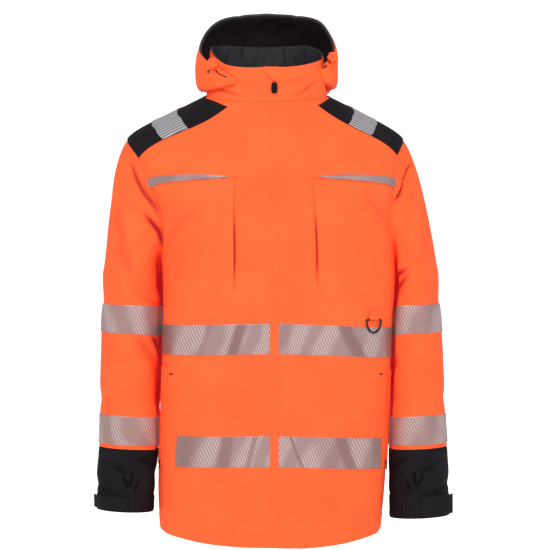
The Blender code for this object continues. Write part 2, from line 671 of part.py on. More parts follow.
# The flap over the top of the zip: its free edge at each share of the collar's height.
CHIN_FLAP = table(
    "share edge",
    (0.48, 15.0),
    (0.58, 11.0),
    (0.68, 3.5),
    (0.86, -3.4),
    (0.985, -4.4),
)
CHIN_SEAM = 25.0
CHIN_LIFT = 0.0016


def collar(around, share):
    """The collar's outer face, from the neck seam (share 0) to its top edge (share 1)."""
    around, share = np.broadcast_arrays(around, share)
    turn = np.radians(around)
    facing = (around + 180.0) % 360.0 - 180.0
    out = np.stack([np.sin(turn), -np.cos(turn), np.zeros(turn.shape)], -1)
    base = body(around, neckline(around)) - out * COLLAR_INSET
    top = out * read(COLLAR_TOP, "radius", facing, "around")[..., None]
    top[..., 0] += NECK_SHIFT
    top[..., 2] = read(COLLAR_TOP, "z", facing, "around")
    share = share[..., None]
    return base * (1 - share) + top * share + out * COLLAR_BULGE * np.sin(math.pi * share)


def neck_turns(side):
    """The neckline's points from the zip to the centre back, on one side."""
    front = PANELS["yoke_front_" + side][0][PLACKET_STEPS:, 0]
    back = PANELS["yoke_back_" + side][0][PLACKET_STEPS:-1, 0][::-1]
    return np.concatenate([front, back - 360.0 if side == "right" else back])


RIGHT_TURNS, LEFT_TURNS = neck_turns("right"), neck_turns("left")
for side, turns in (("right", RIGHT_TURNS), ("left", LEFT_TURNS)):
    grid = np.meshgrid(turns, np.array(COLLAR_SHARES))
    panel("collar_" + side, collar, *grid, -WALL, 0.0, ORANGE, "bottom first last")
    behind = (-WALL - 2 * SEAM_GAP - LINING_WALL, -WALL - 2 * SEAM_GAP)
    layers = [drawn_in(lift(collar, *grid, height), "bottom last") for height in behind]
    layers = [drawn_in(points, "first", LINING_FROM_ZIP) for points in layers]
    wall("collar_lining_" + side, *layers, LINING)

share = np.tile(CHIN_FLAP["share"][:, None], (1, 4))
around = CHIN_FLAP["edge"][:, None] + (CHIN_SEAM - CHIN_FLAP["edge"][:, None]) * np.linspace(0, 1, 4)
lifted = SEAM_GAP + CHIN_LIFT * np.linspace(1, 0, 4) + 0.0 * share
chin = [lift(collar, around, share, lifted + height) for height in (0.0, WALL)]
wall("chin_flap", *chin, ORANGE)


# ---------------------------------------------------------------- front zip and its puller

ZIP_HALF = 2.9
ZIP_WALL = 0.0012
BEHIND_FRONT = 0.0008
BEHIND_COLLAR = WALL + 0.0008
ZIP_BODY_TOP_Z = -0.060
ZIP_COLLAR_SHARES = np.array([-0.10, 0.30, 0.65, 0.97])
SLIDER_AROUND, SLIDER_SHARE = 8.9, 0.46
SLIDER_HALF, SLIDER_WALL, SLIDER_HALF_LENGTH = 0.0040, 0.0026, 0.0052
BAIL_HALF, BAIL_HALF_LENGTH, BAIL_TOP = 0.0013, 0.0038, 0.0060
BAIL_HOLE_FLOOR, BAIL_HOLE_TOP, BAIL_HOLE_HALF = 0.0029, 0.0051, 0.0026
PULLER_OUT, PULLER_RISE, PULLER_PIN = 0.0041, 0.0010, 0.0008
PULLER_HALF, PULLER_WINDOW, PULLER_LENGTH = 0.0040, 0.0021, 0.0145


def across_zip(centre, count):
    """Three columns: the zip line, and the strip's edges on either side of it."""
    return np.array([ZIP_HALF, 0.0, -ZIP_HALF]) + centre[:, None], np.ones((count, 3))


front_around, front_z = (values[:, 0] for values in PANELS["front_right"])
yoke_around, yoke_z = (values[1, 0] for values in PANELS["yoke_front_right"])
strip_z = np.concatenate([front_z, [yoke_z, ZIP_BODY_TOP_Z]])
strip_around = np.concatenate([front_around, [yoke_around]])
strip_around = np.append(strip_around, math.degrees(math.atan((ZIP_X + 0.0065) / 0.098)))
turns, ones = across_zip(strip_around, len(strip_z))
neck_turns_of_zip, collar_ones = across_zip(np.full(4, SLIDER_AROUND), 4)
zip_layers = []
for body_height, collar_height in (
    (-BEHIND_FRONT - ZIP_WALL, -BEHIND_COLLAR - ZIP_WALL),
    (-BEHIND_FRONT, -BEHIND_COLLAR),
):
    low = lift(body, turns, strip_z[:, None] * ones, body_height)
    high = lift(collar, neck_turns_of_zip, ZIP_COLLAR_SHARES[:, None] * collar_ones, collar_height)
    zip_layers.append(np.concatenate([low, high]))
wall("front_zip", *zip_layers, BLACK)


def upright_frame(surface, a, b):
    """A point of a surface, the level way along it (to the wearer's left), straight out, and up."""
    a, b = np.array([float(a)]), np.array([float(b)])
    point = surface(a, b)[0]
    out = lift(surface, a, b, 1.0)[0] - point
    out[2] = 0.0
    out /= np.linalg.norm(out)
    up = np.array([0.0, 0.0, 1.0])
    return point, np.cross(up, out), out, up


def placed(frame, local):
    """Local points (along, out, up) in the part's frame."""
    point, along, out, up = frame
    local = np.asarray(local, float)
    return point + local[..., :1] * along + local[..., 1:2] * out + local[..., 2:] * up


def swept(name, frame, path, radius, finish, sides=8):
    """A round wire along a closed path of (along, up) points, at one distance out."""
    path = np.asarray(path, float)
    ahead = np.roll(path, -1, axis=0) - np.roll(path, 1, axis=0)
    ahead /= np.linalg.norm(ahead, axis=1, keepdims=True)
    side = np.stack([ahead[:, 2], np.zeros(len(path)), -ahead[:, 0]], -1)
    turn = np.arange(sides) * 2 * math.pi / sides
    ring = side[:, None] * np.cos(turn)[:, None] + np.array([0.0, 1.0, 0.0]) * np.sin(turn)[:, None]
    points = path[:, None] + radius * ring
    faces = []
    for i in range(len(path)):
        for j in range(sides):
            a, b = i * sides + j, i * sides + (j + 1) % sides
            c, d = ((i + 1) % len(path)) * sides + (j + 1) % sides, ((i + 1) % len(path)) * sides + j
            faces += [(a, b, c), (a, c, d)]
    return new_object(name, placed(frame, points.reshape(-1, 3)), faces, finish)


def framed_hole(name, frame, hole, outline, span, finish):
    """A closed frame round a hole: two loops of (along, out, up) points, carried over a span."""
    span = np.asarray(span, float)[:, None, :]
    low, high = (placed(frame, np.asarray(loop, float)[None] + span) for loop in (hole, outline))
    return wall(name, low, high, finish, ring=True)


def block(name, frame, outline, levels, finish):
    """A stack of scaled outlines of (along, up) points, each at its own distance out."""
    outline = np.asarray(outline, float)
    count = len(outline)
    points = np.array([(x * scale, out, z * scale) for out, scale in levels for x, z in outline])
    faces = []
    for level in range(len(levels) - 1):
        for i in range(count):
            a, b = level * count + i, level * count + (i + 1) % count
            faces += [(a, b, b + count), (a, b + count, a + count)]
    last = (len(levels) - 1) * count
    for i in range(1, count - 1):
        faces += [(0, i + 1, i), (last, last + i, last + i + 1)]
    return new_object(name, placed(frame, points), faces, finish)


def join(kept, added):
    """The two solids as one."""
    cut = kept.modifiers.new("join", "BOOLEAN")
    cut.operation = "UNION"
    cut.solver = "EXACT"
    cut.object = added
    bpy.context.view_layer.update()
    graph = bpy.context.evaluated_depsgraph_get()
    whole = bpy.data.meshes.new_from_object(kept.evaluated_get(graph))
    kept.modifiers.clear()
    kept.data = whole
    bpy.data.objects.remove(added, do_unlink=True)
    return kept


def rectangle(half, low, high):
    return [(-half, low), (half, low), (half, high), (-half, high)]


SLIDER_FRAME = upright_frame(collar, SLIDER_AROUND, SLIDER_SHARE)
length = SLIDER_HALF_LENGTH
outline = [
    (-0.7 * SLIDER_HALF, -length), (0.7 * SLIDER_HALF, -length), (SLIDER_HALF, -0.4 * length),
    (SLIDER_HALF, 0.6 * length), (0.5 * SLIDER_HALF, length), (-0.5 * SLIDER_HALF, length),
    (-SLIDER_HALF, 0.6 * length), (-SLIDER_HALF, -0.4 * length),
]
top = SEAM_GAP + SLIDER_WALL
slider = block("zip_slider", SLIDER_FRAME, outline, ((SEAM_GAP, 1.0), (top - 0.0006, 1.0), (top, 0.85)), METAL)
bail_hole = [(-BAIL_HALF, out, z) for z, out in rectangle(BAIL_HOLE_HALF, BAIL_HOLE_FLOOR, BAIL_HOLE_TOP)]
bail_outline = [(-BAIL_HALF, out, z) for z, out in rectangle(BAIL_HALF_LENGTH, top - 0.0010, BAIL_TOP)]
span = ((0, 0, 0), (2 * BAIL_HALF, 0, 0))
join(slider, framed_hole("zip_bail", SLIDER_FRAME, bail_hole, bail_outline, span, METAL))

pin, low_end = PULLER_RISE, PULLER_RISE - PULLER_LENGTH
window = [(x, PULLER_OUT - 0.0007, z) for x, z in (
    (-PULLER_WINDOW, pin - 0.0055), (PULLER_WINDOW, pin - 0.0055), (PULLER_WINDOW, pin - 0.0030),
    (PULLER_WINDOW, pin - 0.0007), (-PULLER_WINDOW, pin - 0.0007), (-PULLER_WINDOW, pin - 0.0030),
)]
edge = [(x, PULLER_OUT - 0.0007, z) for x, z in (
    (-0.8 * PULLER_HALF, low_end), (0.8 * PULLER_HALF, low_end), (PULLER_HALF, low_end + 0.0020),
    (0.9 * PULLER_HALF, pin + 0.0007), (-0.9 * PULLER_HALF, pin + 0.0007), (-PULLER_HALF, low_end + 0.0020),
)]
framed_hole("zip_pull_tab", SLIDER_FRAME, window, edge, ((0, 0, 0), (0, 0.0014, 0)), RUBBER)


# ---------------------------------------------------------------- D-ring on its webbing loop

RING_AROUND, RING_Z = 59.4, -0.3876
RING_WIRE, RING_HALF, RING_DROP, RING_CORNER = 0.0014, 0.0156, 0.0222, 0.0020
RING_OUT = 0.0042
LOOP_HALF, LOOP_HOLE, LOOP_WALL, LOOP_TOP = 0.0125, 0.00175, 0.0012, 0.0170

RING_FRAME = upright_frame(body, RING_AROUND, RING_Z)
straight = RING_HALF - RING_CORNER
ring_path = [(x, RING_OUT, 0.0) for x in np.linspace(-straight, straight, 4)]
for degrees in np.linspace(0.0, 180.0, 17):
    turn = math.radians(degrees)
    drop = RING_CORNER + (RING_DROP - RING_CORNER) * math.sin(turn)
    ring_path.append((RING_HALF * math.cos(turn), RING_OUT, -drop))
swept("d_ring", RING_FRAME, ring_path, RING_WIRE, METAL)

round_bar = np.radians(np.linspace(150.0, 390.0, 9))
hole = [(LOOP_HOLE * math.cos(turn), LOOP_HOLE * math.sin(turn)) for turn in round_bar]
hole += [(0.0009, 0.0034), (0.00015, 0.0052), (-0.00015, 0.0052), (-0.0009, 0.0034)]
reach = LOOP_HOLE + LOOP_WALL
outline = [(reach * math.cos(turn), reach * math.sin(turn)) for turn in round_bar]
outline += [(0.0019, 0.0080), (-0.0004, LOOP_TOP), (-reach, LOOP_TOP), (-reach, 0.0080)]
hole, outline = ([(-LOOP_HALF, RING_OUT + out, z) for out, z in loop] for loop in (hole, outline))
framed_hole("d_ring_loop", RING_FRAME, hole, outline, ((0, 0, 0), (2 * LOOP_HALF, 0, 0)), ORANGE)


# ---------------------------------------------------------------- hood

# Half of the hood, from its front corner (rib 0) to its centre back (rib 6): each rib climbs from
# the neck (angle round the collar, share of its height) by a low, a middle and a high point to the
# rim. x is away from the middle plane.
HOOD_NECK = table(
    "rib right_around left_around share",
    (0, 43.0, 72.0, 0.42),
    (1, 62.0, 83.0, 0.22),
    (2, 84.0, 97.0, 0.12),
    (3, 108.0, 114.0, 0.16),
    (4, 133.0, 136.0, 0.18),
    (5, 156.0, 157.0, 0.20),
    (6, 180.0, 180.0, 0.20),
)
# How far the left half is swung from the mirror image of the right half, at its foot and at its rim.
HOOD_SWING = table(
    "rib x y z rim_x rim_y rim_z",
    (0, 0.0340, 0.0510, 0.0090, 0.0220, 0.0360, 0.0140),
    (1, 0.0115, 0.0300, 0.0100, 0.0115, 0.0300, 0.0100),
    (2, 0.0020, 0.0130, 0.0050, 0.0020, 0.0130, 0.0050),
    (3, 0.0020, 0.0050, 0.0020, 0.0020, 0.0050, 0.0020),
    (4, 0.0060, 0.0000, 0.0010, 0.0060, 0.0000, 0.0010),
    (5, 0.0050, 0.0000, 0.0000, 0.0050, 0.0000, 0.0000),
    (6, 0.0000, 0.0000, 0.0000, 0.0000, 0.0000, 0.0000),
)
HOOD_RIBS = table(
    "rib low_x low_y low_z mid_x mid_y mid_z high_x high_y high_z rim_x rim_y rim_z",
    (0, 0.0630, -0.089, 0.018, 0.0680, -0.084, 0.026, 0.0740, -0.077, 0.034, 0.0790, -0.070, 0.042),
    (1, 0.0990, -0.060, 0.007, 0.1000, -0.059, 0.023, 0.0985, -0.057, 0.039, 0.0950, -0.053, 0.053),
    (2, 0.1180, -0.016, 0.012, 0.1210, -0.014, 0.036, 0.1200, -0.016, 0.058, 0.1150, -0.020, 0.078),
    (3, 0.1160, 0.050, 0.020, 0.1230, 0.056, 0.055, 0.1200, 0.046, 0.090, 0.1070, 0.020, 0.112),
    (4, 0.0960, 0.110, 0.010, 0.1080, 0.128, 0.060, 0.1050, 0.100, 0.112, 0.0840, 0.042, 0.137),
    (5, 0.0520, 0.145, -0.006, 0.0600, 0.172, 0.055, 0.0580, 0.135, 0.128, 0.0480, 0.058, 0.1480),
    (6, 0.0000, 0.150, -0.012, 0.0000, 0.182, 0.052, 0.0000, 0.142, 0.132, 0.0000, 0.062, 0.1520),
)
HOOD_OFF_COLLAR = 0.0030
HOOD_ROWS = np.array([0.0, 0.12, 0.25, 0.38, 0.5, 0.62, 0.75, 0.88, 1.0])
SIDE_RIBS = np.linspace(0, 5, 11)
CENTRE_RIBS = np.linspace(5, 7, 5)


def hood(rib, climb):
    """The hood's shell: ribs 0 to 12 run round it from right to left, climb 0 to 1 from neck to rim."""
    rib, climb = np.broadcast_arrays(rib, climb)
    folded = 6.0 - np.abs(rib - 6.0)
    sign = np.where(rib < 6.0, -1.0, 1.0)
    left = rib > 6.0
    right_around = read(HOOD_NECK, "right_around", folded, "rib")
    around = np.where(left, read(HOOD_NECK, "left_around", folded, "rib"), right_around)
    neck = collar(around, read(HOOD_NECK, "share", folded, "rib"))
    turn = np.radians(around)
    swing, rim_swing = (
        np.stack([read(HOOD_SWING, level + axis, folded, "rib") for axis in "xyz"], -1) * left[..., None]
        for level in ("", "rim_")
    )
    neck[..., 0] += HOOD_OFF_COLLAR * np.sin(turn) - NECK_SHIFT
    neck[..., 1] -= HOOD_OFF_COLLAR * np.cos(turn)
    knots = [neck]
    for i, level in enumerate(("low", "mid", "high", "rim")):
        point = np.stack([read(HOOD_RIBS, f"{level}_{axis}", folded, "rib") for axis in "xyz"], -1)
        knots.append(point + swing + (rim_swing - swing) * i / 3)
    knots = np.stack(knots)
    slopes = np.gradient(knots, axis=0)
    place = np.clip(climb, -0.01, 1.01) * 4
    i = np.clip(np.floor(place), 0, 3).astype(int)
    t = (place - i)[..., None]
    pick = np.indices(i.shape)
    low, high = knots[(i, *pick)], knots[(i + 1, *pick)]
    rise, fall = slopes[(i, *pick)], slopes[(i + 1, *pick)]
    points = low * (1 + 2 * t) * (1 - t) ** 2 + rise * t * (1 - t) ** 2
    points = points + high * t**2 * (3 - 2 * t) - fall * t**2 * (1 - t)
    points[..., 0] = sign * points[..., 0] + NECK_SHIFT
    return points


for name, ribs in (("side_right", SIDE_RIBS), ("centre", CENTRE_RIBS), ("side_left", 12 - SIDE_RIBS[::-1])):
    grid = np.meshgrid(ribs, HOOD_ROWS)
    edges = {"side_right": "last", "centre": "first last", "side_left": "first"}[name]
    panel("hood_" + name, hood, *grid, 0.0, -WALL, ORANGE, edges)
lining_ribs = np.concatenate([SIDE_RIBS, CENTRE_RIBS[1:], (12 - SIDE_RIBS[::-1])[1:]])
grid = np.meshgrid(lining_ribs, HOOD_ROWS)
panel("hood_lining", hood, *grid, SEAM_GAP, SEAM_GAP + LINING_WALL, LINING)


# The gathered ends of the rim's drawcord channel: each is a lobed knot of cloth.
GATHERS = table(
    "rib climb out rise",
    (0.62, 0.97, 0.0071, 0.0055),
    (10.66, 0.97, 0.0084, 0.0000),
)
KNOT_HALF, KNOT_DEPTH, KNOT_LOBE, KNOT_LOBES = 0.0088, 0.0062, 0.16, 5
KNOT_ROWS, KNOT_COLUMNS = 5, 20


def knot(name, frame):
    """A flattened ball of cloth with deep folds running in to its middle."""
    points = [(0.0, -KNOT_DEPTH, 0.0)]
    for row in range(1, KNOT_ROWS):
        rise = math.pi * row / KNOT_ROWS
        for column in range(KNOT_COLUMNS):
            turn = 2 * math.pi * column / KNOT_COLUMNS
            lobe = 1 + KNOT_LOBE * math.cos(KNOT_LOBES * turn + 0.6) + 0.06 * math.sin(2 * turn)
            reach = KNOT_HALF * math.sin(rise) * lobe
            points.append((reach * math.cos(turn), -KNOT_DEPTH * math.cos(rise), reach * math.sin(turn)))
    points.append((0.0, KNOT_DEPTH, 0.0))
    faces = []
    for column in range(KNOT_COLUMNS):
        beside = (column + 1) % KNOT_COLUMNS
        faces.append((0, 1 + column, 1 + beside))
        for row in range(KNOT_ROWS - 2):
            a, b = 1 + row * KNOT_COLUMNS + column, 1 + row * KNOT_COLUMNS + beside
            faces += [(a, a + KNOT_COLUMNS, b + KNOT_COLUMNS), (a, b + KNOT_COLUMNS, b)]
        last = 1 + (KNOT_ROWS - 2) * KNOT_COLUMNS
        faces.append((last + column, len(points) - 1, last + beside))
    return new_object(name, placed(frame, points), faces, ORANGE)


for i, side in enumerate(("right", "left")):
    point, along, out, up = upright_frame(hood, GATHERS["rib"][i], GATHERS["climb"][i])
    centre = point - GATHERS["out"][i] * out + GATHERS["rise"][i] * up
    knot("hood_gather_" + side, (centre, -along, -out, up))
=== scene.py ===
"""How the hi-vis work jacket looks: cloth, tape, stitching, zip and trim, over its solids.

Metres, +Z up. The wearer faces -Y, so the wearer's left is +X.
"""

import json
import math

import bpy
import numpy as np
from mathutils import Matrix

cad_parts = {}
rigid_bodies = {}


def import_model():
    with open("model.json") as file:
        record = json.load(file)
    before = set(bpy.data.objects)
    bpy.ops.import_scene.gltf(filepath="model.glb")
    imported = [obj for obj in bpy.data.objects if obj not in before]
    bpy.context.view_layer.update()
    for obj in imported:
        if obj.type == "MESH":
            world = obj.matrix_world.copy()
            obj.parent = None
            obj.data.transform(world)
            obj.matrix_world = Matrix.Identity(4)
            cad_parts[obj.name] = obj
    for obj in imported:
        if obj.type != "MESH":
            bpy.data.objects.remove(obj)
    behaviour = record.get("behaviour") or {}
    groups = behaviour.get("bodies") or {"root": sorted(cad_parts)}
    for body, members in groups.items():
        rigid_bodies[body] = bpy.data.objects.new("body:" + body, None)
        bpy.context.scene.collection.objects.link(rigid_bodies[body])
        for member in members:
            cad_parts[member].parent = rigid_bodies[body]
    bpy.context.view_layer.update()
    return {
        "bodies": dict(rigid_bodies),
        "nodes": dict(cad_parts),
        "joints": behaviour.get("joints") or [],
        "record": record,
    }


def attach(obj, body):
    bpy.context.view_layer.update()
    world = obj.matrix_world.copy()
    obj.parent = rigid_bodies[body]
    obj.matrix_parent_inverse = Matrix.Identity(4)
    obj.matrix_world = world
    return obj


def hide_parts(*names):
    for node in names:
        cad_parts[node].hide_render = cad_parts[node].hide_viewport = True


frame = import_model()


# ---------------------------------------------------------------- the room
# A pale floor and a white room that light it from all sides, and a broad soft lamp high on each
# side in front. The camera stands 3.6 m in front, level with the chest.

scene = bpy.context.scene
scene.view_settings.view_transform = "Standard"

CAMERA_AWAY, PICTURE_WIDTH, FILM = 3.6, 0.9625, 36.0
FLOOR_Z, AIM = -0.86, (0.0, 0.0, -0.35)


def add_object(name, data):
    """A new object in the scene."""
    made = bpy.data.objects.new(name, data)
    scene.collection.objects.link(made)
    return made


def put(tree, socket, value):
    """Gives a socket a number or a colour, or links another node's output to it."""
    if isinstance(value, bpy.types.NodeSocket):
        tree.links.new(value, socket)
    else:
        socket.default_value = (*value, 1.0) if isinstance(value, tuple) else value


def add(tree, kind, **settings):
    """A new node, with its inputs and its own settings given by name."""
    made = tree.nodes.new(kind if "Node" in kind else "ShaderNode" + kind)
    for key, value in settings.items():
        if key in made.inputs and not hasattr(made, key):
            put(tree, made.inputs[key], value)
        else:
            setattr(made, key, value)
    return made


def ramp(tree, value, start, end, low=0.0, high=1.0, kind="LINEAR"):
    """A value moved from one range, start to end, to another, low to high."""
    ends = {"From Min": start, "From Max": end, "To Min": low, "To Max": high}
    return add(tree, "MapRange", interpolation_type=kind, Value=value, **ends).outputs["Result"]


def new_material(name, **inputs):
    """A new material, its tree and its shader, with some of the shader's inputs."""
    material = bpy.data.materials.new(name)
    material.use_nodes = True
    tree = material.node_tree
    shader = tree.nodes["Principled BSDF"]
    for key, value in inputs.items():
        put(tree, shader.inputs[key.replace("_", " ")], value)
    return material, tree, shader


def to_the_eye(tree, others, eye_sees):
    """One value for the camera's own rays and another for the rest of the light."""
    return ramp(tree, add(tree, "LightPath").outputs["Is Camera Ray"], 0.0, 1.0, others, eye_sees)


def soft_lamp(name, place, size, power):
    """A square lamp that points at the jacket's middle."""
    lamp = bpy.data.lights.new(name, "AREA")
    lamp.shape = "RECTANGLE"
    lamp.size, lamp.size_y = size
    lamp.energy = power
    x, y, z = np.array(AIM) - np.array(place)
    held = add_object(name, lamp)
    held.location = place
    held.rotation_euler = (math.atan2(math.hypot(x, y), -z), 0.0, math.atan2(y, x) - math.pi / 2)


eye = bpy.data.cameras.new("eye")
eye.sensor_width = FILM
eye.lens = FILM * CAMERA_AWAY / PICTURE_WIDTH
camera = add_object("camera", eye)
camera.location = (0.00875, -CAMERA_AWAY, -0.3115)
camera.rotation_euler = (math.pi / 2, 0.0, 0.0)
scene.camera = camera

room = bpy.data.worlds.new("white room")
room.use_nodes = True
shade = room.node_tree.nodes["Background"]
put(room.node_tree, shade.inputs["Color"], (1.0, 1.0, 1.0))
put(room.node_tree, shade.inputs["Strength"], to_the_eye(room.node_tree, 0.62, 1.15))
scene.world = room

soft_lamp("lamp left", (-0.9, -2.6, 1.9), (1.0, 1.0), 44.0)
soft_lamp("lamp right", (1.5, -2.6, 1.0), (0.8, 1.0), 14.0)

floor_mesh = bpy.data.meshes.new("floor")
corners = [(x, y, FLOOR_Z) for x, y in ((-9, -6), (9, -6), (9, 12), (-9, 12))]
floor_mesh.from_pydata(corners, [], [(0, 1, 2, 3)])
pale, tree, shader = new_material(
    "pale floor", Base_Color=(0.9, 0.9, 0.9), Roughness=0.9, Emission_Color=(1.0, 1.0, 1.0))
put(tree, shader.inputs["Emission Strength"], to_the_eye(tree, 0.3, 0.8))
floor_mesh.materials.append(pale)
add_object("floor", floor_mesh)


# ---------------------------------------------------------------- body panels
# Two fronts, one back and four yoke pieces cut from coated orange cloth, with a dark smooth
# lining inside. Each is a thin shell on the jacket's own form, creased and drawn in at seams.

WALL = 0.0016
HEM_Z, HEM_DIP = -0.759, 0.012
CENTRE_FRONT, ZIP_X, SQUEEZE_FROM = 3.0, 0.0073, 46.0
WAIST_TAPE, CHEST_TAPE = (-0.635, -0.583), (-0.445, -0.394)
POCKET_BOTTOM_Z, YOKE_Z = -0.364, -0.149
ARMHOLE_Z, ARMHOLE_HALF_HEIGHT, ARMHOLE_FRONT, ARMHOLE_BACK = -0.182, 0.1085, 16.0, 18.0
YOKE_STATION, PATCH_STATION, TAPER_STATION = 77.0, 51.0, 68.3
NECK_MEAN_Z, NECK_RISE = 0.0015, 0.0165
CELL = 0.0055
# The radius that turns degrees round the body into metres of cloth: for a piece's cut, for creases.
CUT_RADIUS, FORM_RADIUS = 0.18, 0.16


def table(columns, rows):
    """One array for each named column of a table of numbers."""
    values = np.array([row.split() for row in rows.strip().splitlines()], float)
    return dict(zip(columns.split(), values.T))


BODY = table("z half_width front back shift square", """
      -.79  .187 .137 .132      0 2.5
      -.69  .197 .138  .13   .002 2.5
      -.56    .2 .136 .127   .008 2.5
      -.43  .201 .134 .125   .012 2.5
      -.29  .205 .134  .13   .015 2.5
       -.2  .209 .131 .136   .008 2.5
      -.15  .228 .124 .135   .003 2.4
      -.11  .235 .114  .13  -.004 2.3
    -.0735 .2375 .102 .119 -.0085 2.2
     -.051  .205 .095 .107  -.008 2.1
     -.037  .176 .091 .099  -.007 2.1
     -.016  .135 .085 .089  -.006 2.1
         0  .104 .081 .083  -.006 2.1
       .02  .088 .076 .078  -.006 2.1
""")
# The body's large folds, then its small creases: around is degrees from the centre front.
BODY_FOLDS = table("around z tilt half_length width depth", """
     104 -.45   0 .28 .055  -.012
    -104 -.45   0 .28 .055  -.012
     -66 -.68   4 .11  .02  .0035
      70 -.69  -5  .1 .018  .0035
     -30 -.69   8 .09  .03  -.003
      38  -.7  -8 .08 .028  -.003
     -58 -.33  35 .08 .022 -.0035
      60 -.33 -35 .08 .022 -.0035
     150 -.64   6 .13  .03  -.004
    -148 -.65  -5 .12  .03  -.004
     180 -.52   0 .16 .035  -.003
     140 -.33 -30 .09 .024  -.004
    -140 -.33  30 .09 .024  -.004
""")
BODY_CREASES = table("around z tilt half_length width depth lean", """
      -61 -.227 -43.8 .047  .011 -.0034  1.5
    -68.8 -.318 -18.8 .025  .008 -.0026    1
     64.5   -.2  40.8 .038   .01 -.0034 -1.5
    -36.5 -.487 -26.6 .039  .011 -.0018  1.5
     19.2 -.518  31.5 .035  .011 -.0018 -1.5
     14.8 -.757  25.8 .015  .005 -.0018    1
    -57.8 -.738  58.9 .016  .006 -.0026    1
     67.2  -.72  51.5 .025  .007 -.0028    1
      -65 -.727  51.1 .015  .005 -.0022    1
      -46 -.006  82.2  .05 .0045 -.0026  1.6
    -25.5  -.01 -75.4 .017 .0045  -.002    1
       47 -.003  69.3 .028  .005 -.0024  1.4
     16.4 -.613  25.3 .028 .0035 -.0013  1.5
      -30  -.69 -29.2  .06  .016 -.0018    1
       34 -.693  30.5 .058  .016 -.0018    1
     41.2 -.282    .6 .066   .01 -.0012    1
    -10.5 -.245  -2.8 .089  .012  -.001    1
      118  -.26   -42  .06  .009 -.0042    2
      126 -.305   -55 .048  .008  -.003  1.5
     -118 -.265    40  .06  .009 -.0042   -2
     -128  -.31    52  .05  .008  -.003 -1.5
      165   -.2    70  .06  .012 -.0018    1
     -160 -.235   100  .07  .011  -.002  1.5
      158 -.545    62  .07  .012  -.003  1.8
     -152 -.525   112 .065  .011  -.003 -1.8
      172   -.7    20  .06   .01 -.0022    1
     -120  -.69    14  .06   .01 -.0026    1
""")


def unit(values):
    """Values held between 0 and 1."""
    return np.clip(values, 0, 1)


def near(distance, width):
    """A soft share that is 1 at no distance and falls away over a width."""
    return np.exp(-((distance / width) ** 2))


def smooth(low, high, rise, fall, t):
    """The smooth curve between two values, or points, that leaves and arrives at given slopes."""
    start = low * (1 + 2 * t) * (1 - t) ** 2 + rise * t * (1 - t) ** 2
    return start + high * t**2 * (3 - 2 * t) - fall * t**2 * (1 - t)


def read(rows, column, at, key="z"):
    """The smooth curve through one column of a table, read at any key."""
    knots, values = rows[key], rows[column]
    slopes = np.gradient(values, knots)
    at = np.clip(at, knots.min(), knots.max())
    if knots[0] > knots[-1]:
        knots, values, slopes = knots[::-1], values[::-1], slopes[::-1]
    i = np.clip(np.searchsorted(knots, at) - 1, 0, len(knots) - 2)
    step = knots[i + 1] - knots[i]
    return smooth(values[i], values[i + 1], slopes[i] * step, slopes[i + 1] * step, (at - knots[i]) / step)


def fold_height(folds, around, z, radius):
    """The height of all soft ridges and troughs at points on the unrolled cloth."""
    total = np.zeros(np.broadcast(around, z).shape)
    for i in range(len(folds["z"])):
        turn = (around - folds["around"][i] + 180.0) % 360.0 - 180.0
        side = np.radians(turn) * radius
        rise = z - folds["z"][i]
        tilt = math.radians(folds["tilt"][i])
        across = side * math.cos(tilt) + rise * math.sin(tilt)
        along = rise * math.cos(tilt) - side * math.sin(tilt)
        steep = folds["lean"][i] if "lean" in folds else 1.0
        across = np.where(across * np.sign(steep) > 0, across * abs(steep), across)
        shape = near(across, folds["width"][i])
        total += folds["depth"][i] * shape * np.exp(-((along / folds["half_length"][i]) ** 4))
    return total


def body(around, z):
    """The jacket's body: a rounded section at each height, with its folds and creases."""
    turn = np.radians(around)
    depth = np.where(np.cos(turn) > 0, read(BODY, "front", z), read(BODY, "back", z))
    square = read(BODY, "square", z)
    width = read(BODY, "half_width", z)
    reach = np.abs(np.sin(turn) / width) ** square + np.abs(np.cos(turn) / depth) ** square
    height = fold_height(BODY_FOLDS, around, z, CUT_RADIUS)
    height = height + fold_height(BODY_CREASES, around, z, FORM_RADIUS)
    radius = reach ** (-1 / square) + height
    x = read(BODY, "shift", z) + radius * np.sin(turn)
    return np.stack(np.broadcast_arrays(x, -radius * np.cos(turn), z), axis=-1)


def lift(surface, a, b, height):
    """The surface's points moved out along its normals."""
    slope_a = surface(a + 0.05, b) - surface(a - 0.05, b)
    slope_b = surface(a, b + 0.0002) - surface(a, b - 0.0002)
    normal = np.cross(slope_a, slope_b)
    normal /= np.linalg.norm(normal, axis=-1, keepdims=True)
    return surface(a, b) + normal * np.asarray(height)[..., None]


def finer(surface, grid, cell=CELL, close_to_edges=True):
    """A coarse grid of (a, b) cut into cells of about one size, with closer lines beside its edges."""
    points = surface(*grid)
    places = []
    for axis in (0, 1):
        steps = np.linalg.norm(np.diff(points, axis=axis), axis=-1).max(axis=1 - axis)
        marks = [np.arange(n) / n + i for i, n in enumerate(np.ceil(steps / cell).astype(int))]
        marks = np.concatenate([*marks, [len(steps)]])
        if close_to_edges:
            first = [0.0013 / steps[0], 0.0032 / steps[0]]
            last = [len(steps) - 0.0032 / steps[-1], len(steps) - 0.0013 / steps[-1]]
            inner = marks[(marks > first[1] * 1.5) & (marks < last[0] - first[1] * 0.5)]
            marks = np.concatenate([[0.0], first, inner, last, [len(steps)]])
        places.append(marks)
    rows, columns = places
    fine = []
    for values in grid:
        wide = np.stack([np.interp(columns, np.arange(values.shape[1]), line) for line in values])
        fine.append(np.stack([np.interp(rows, np.arange(values.shape[0]), line) for line in wide.T], axis=1))
    return fine


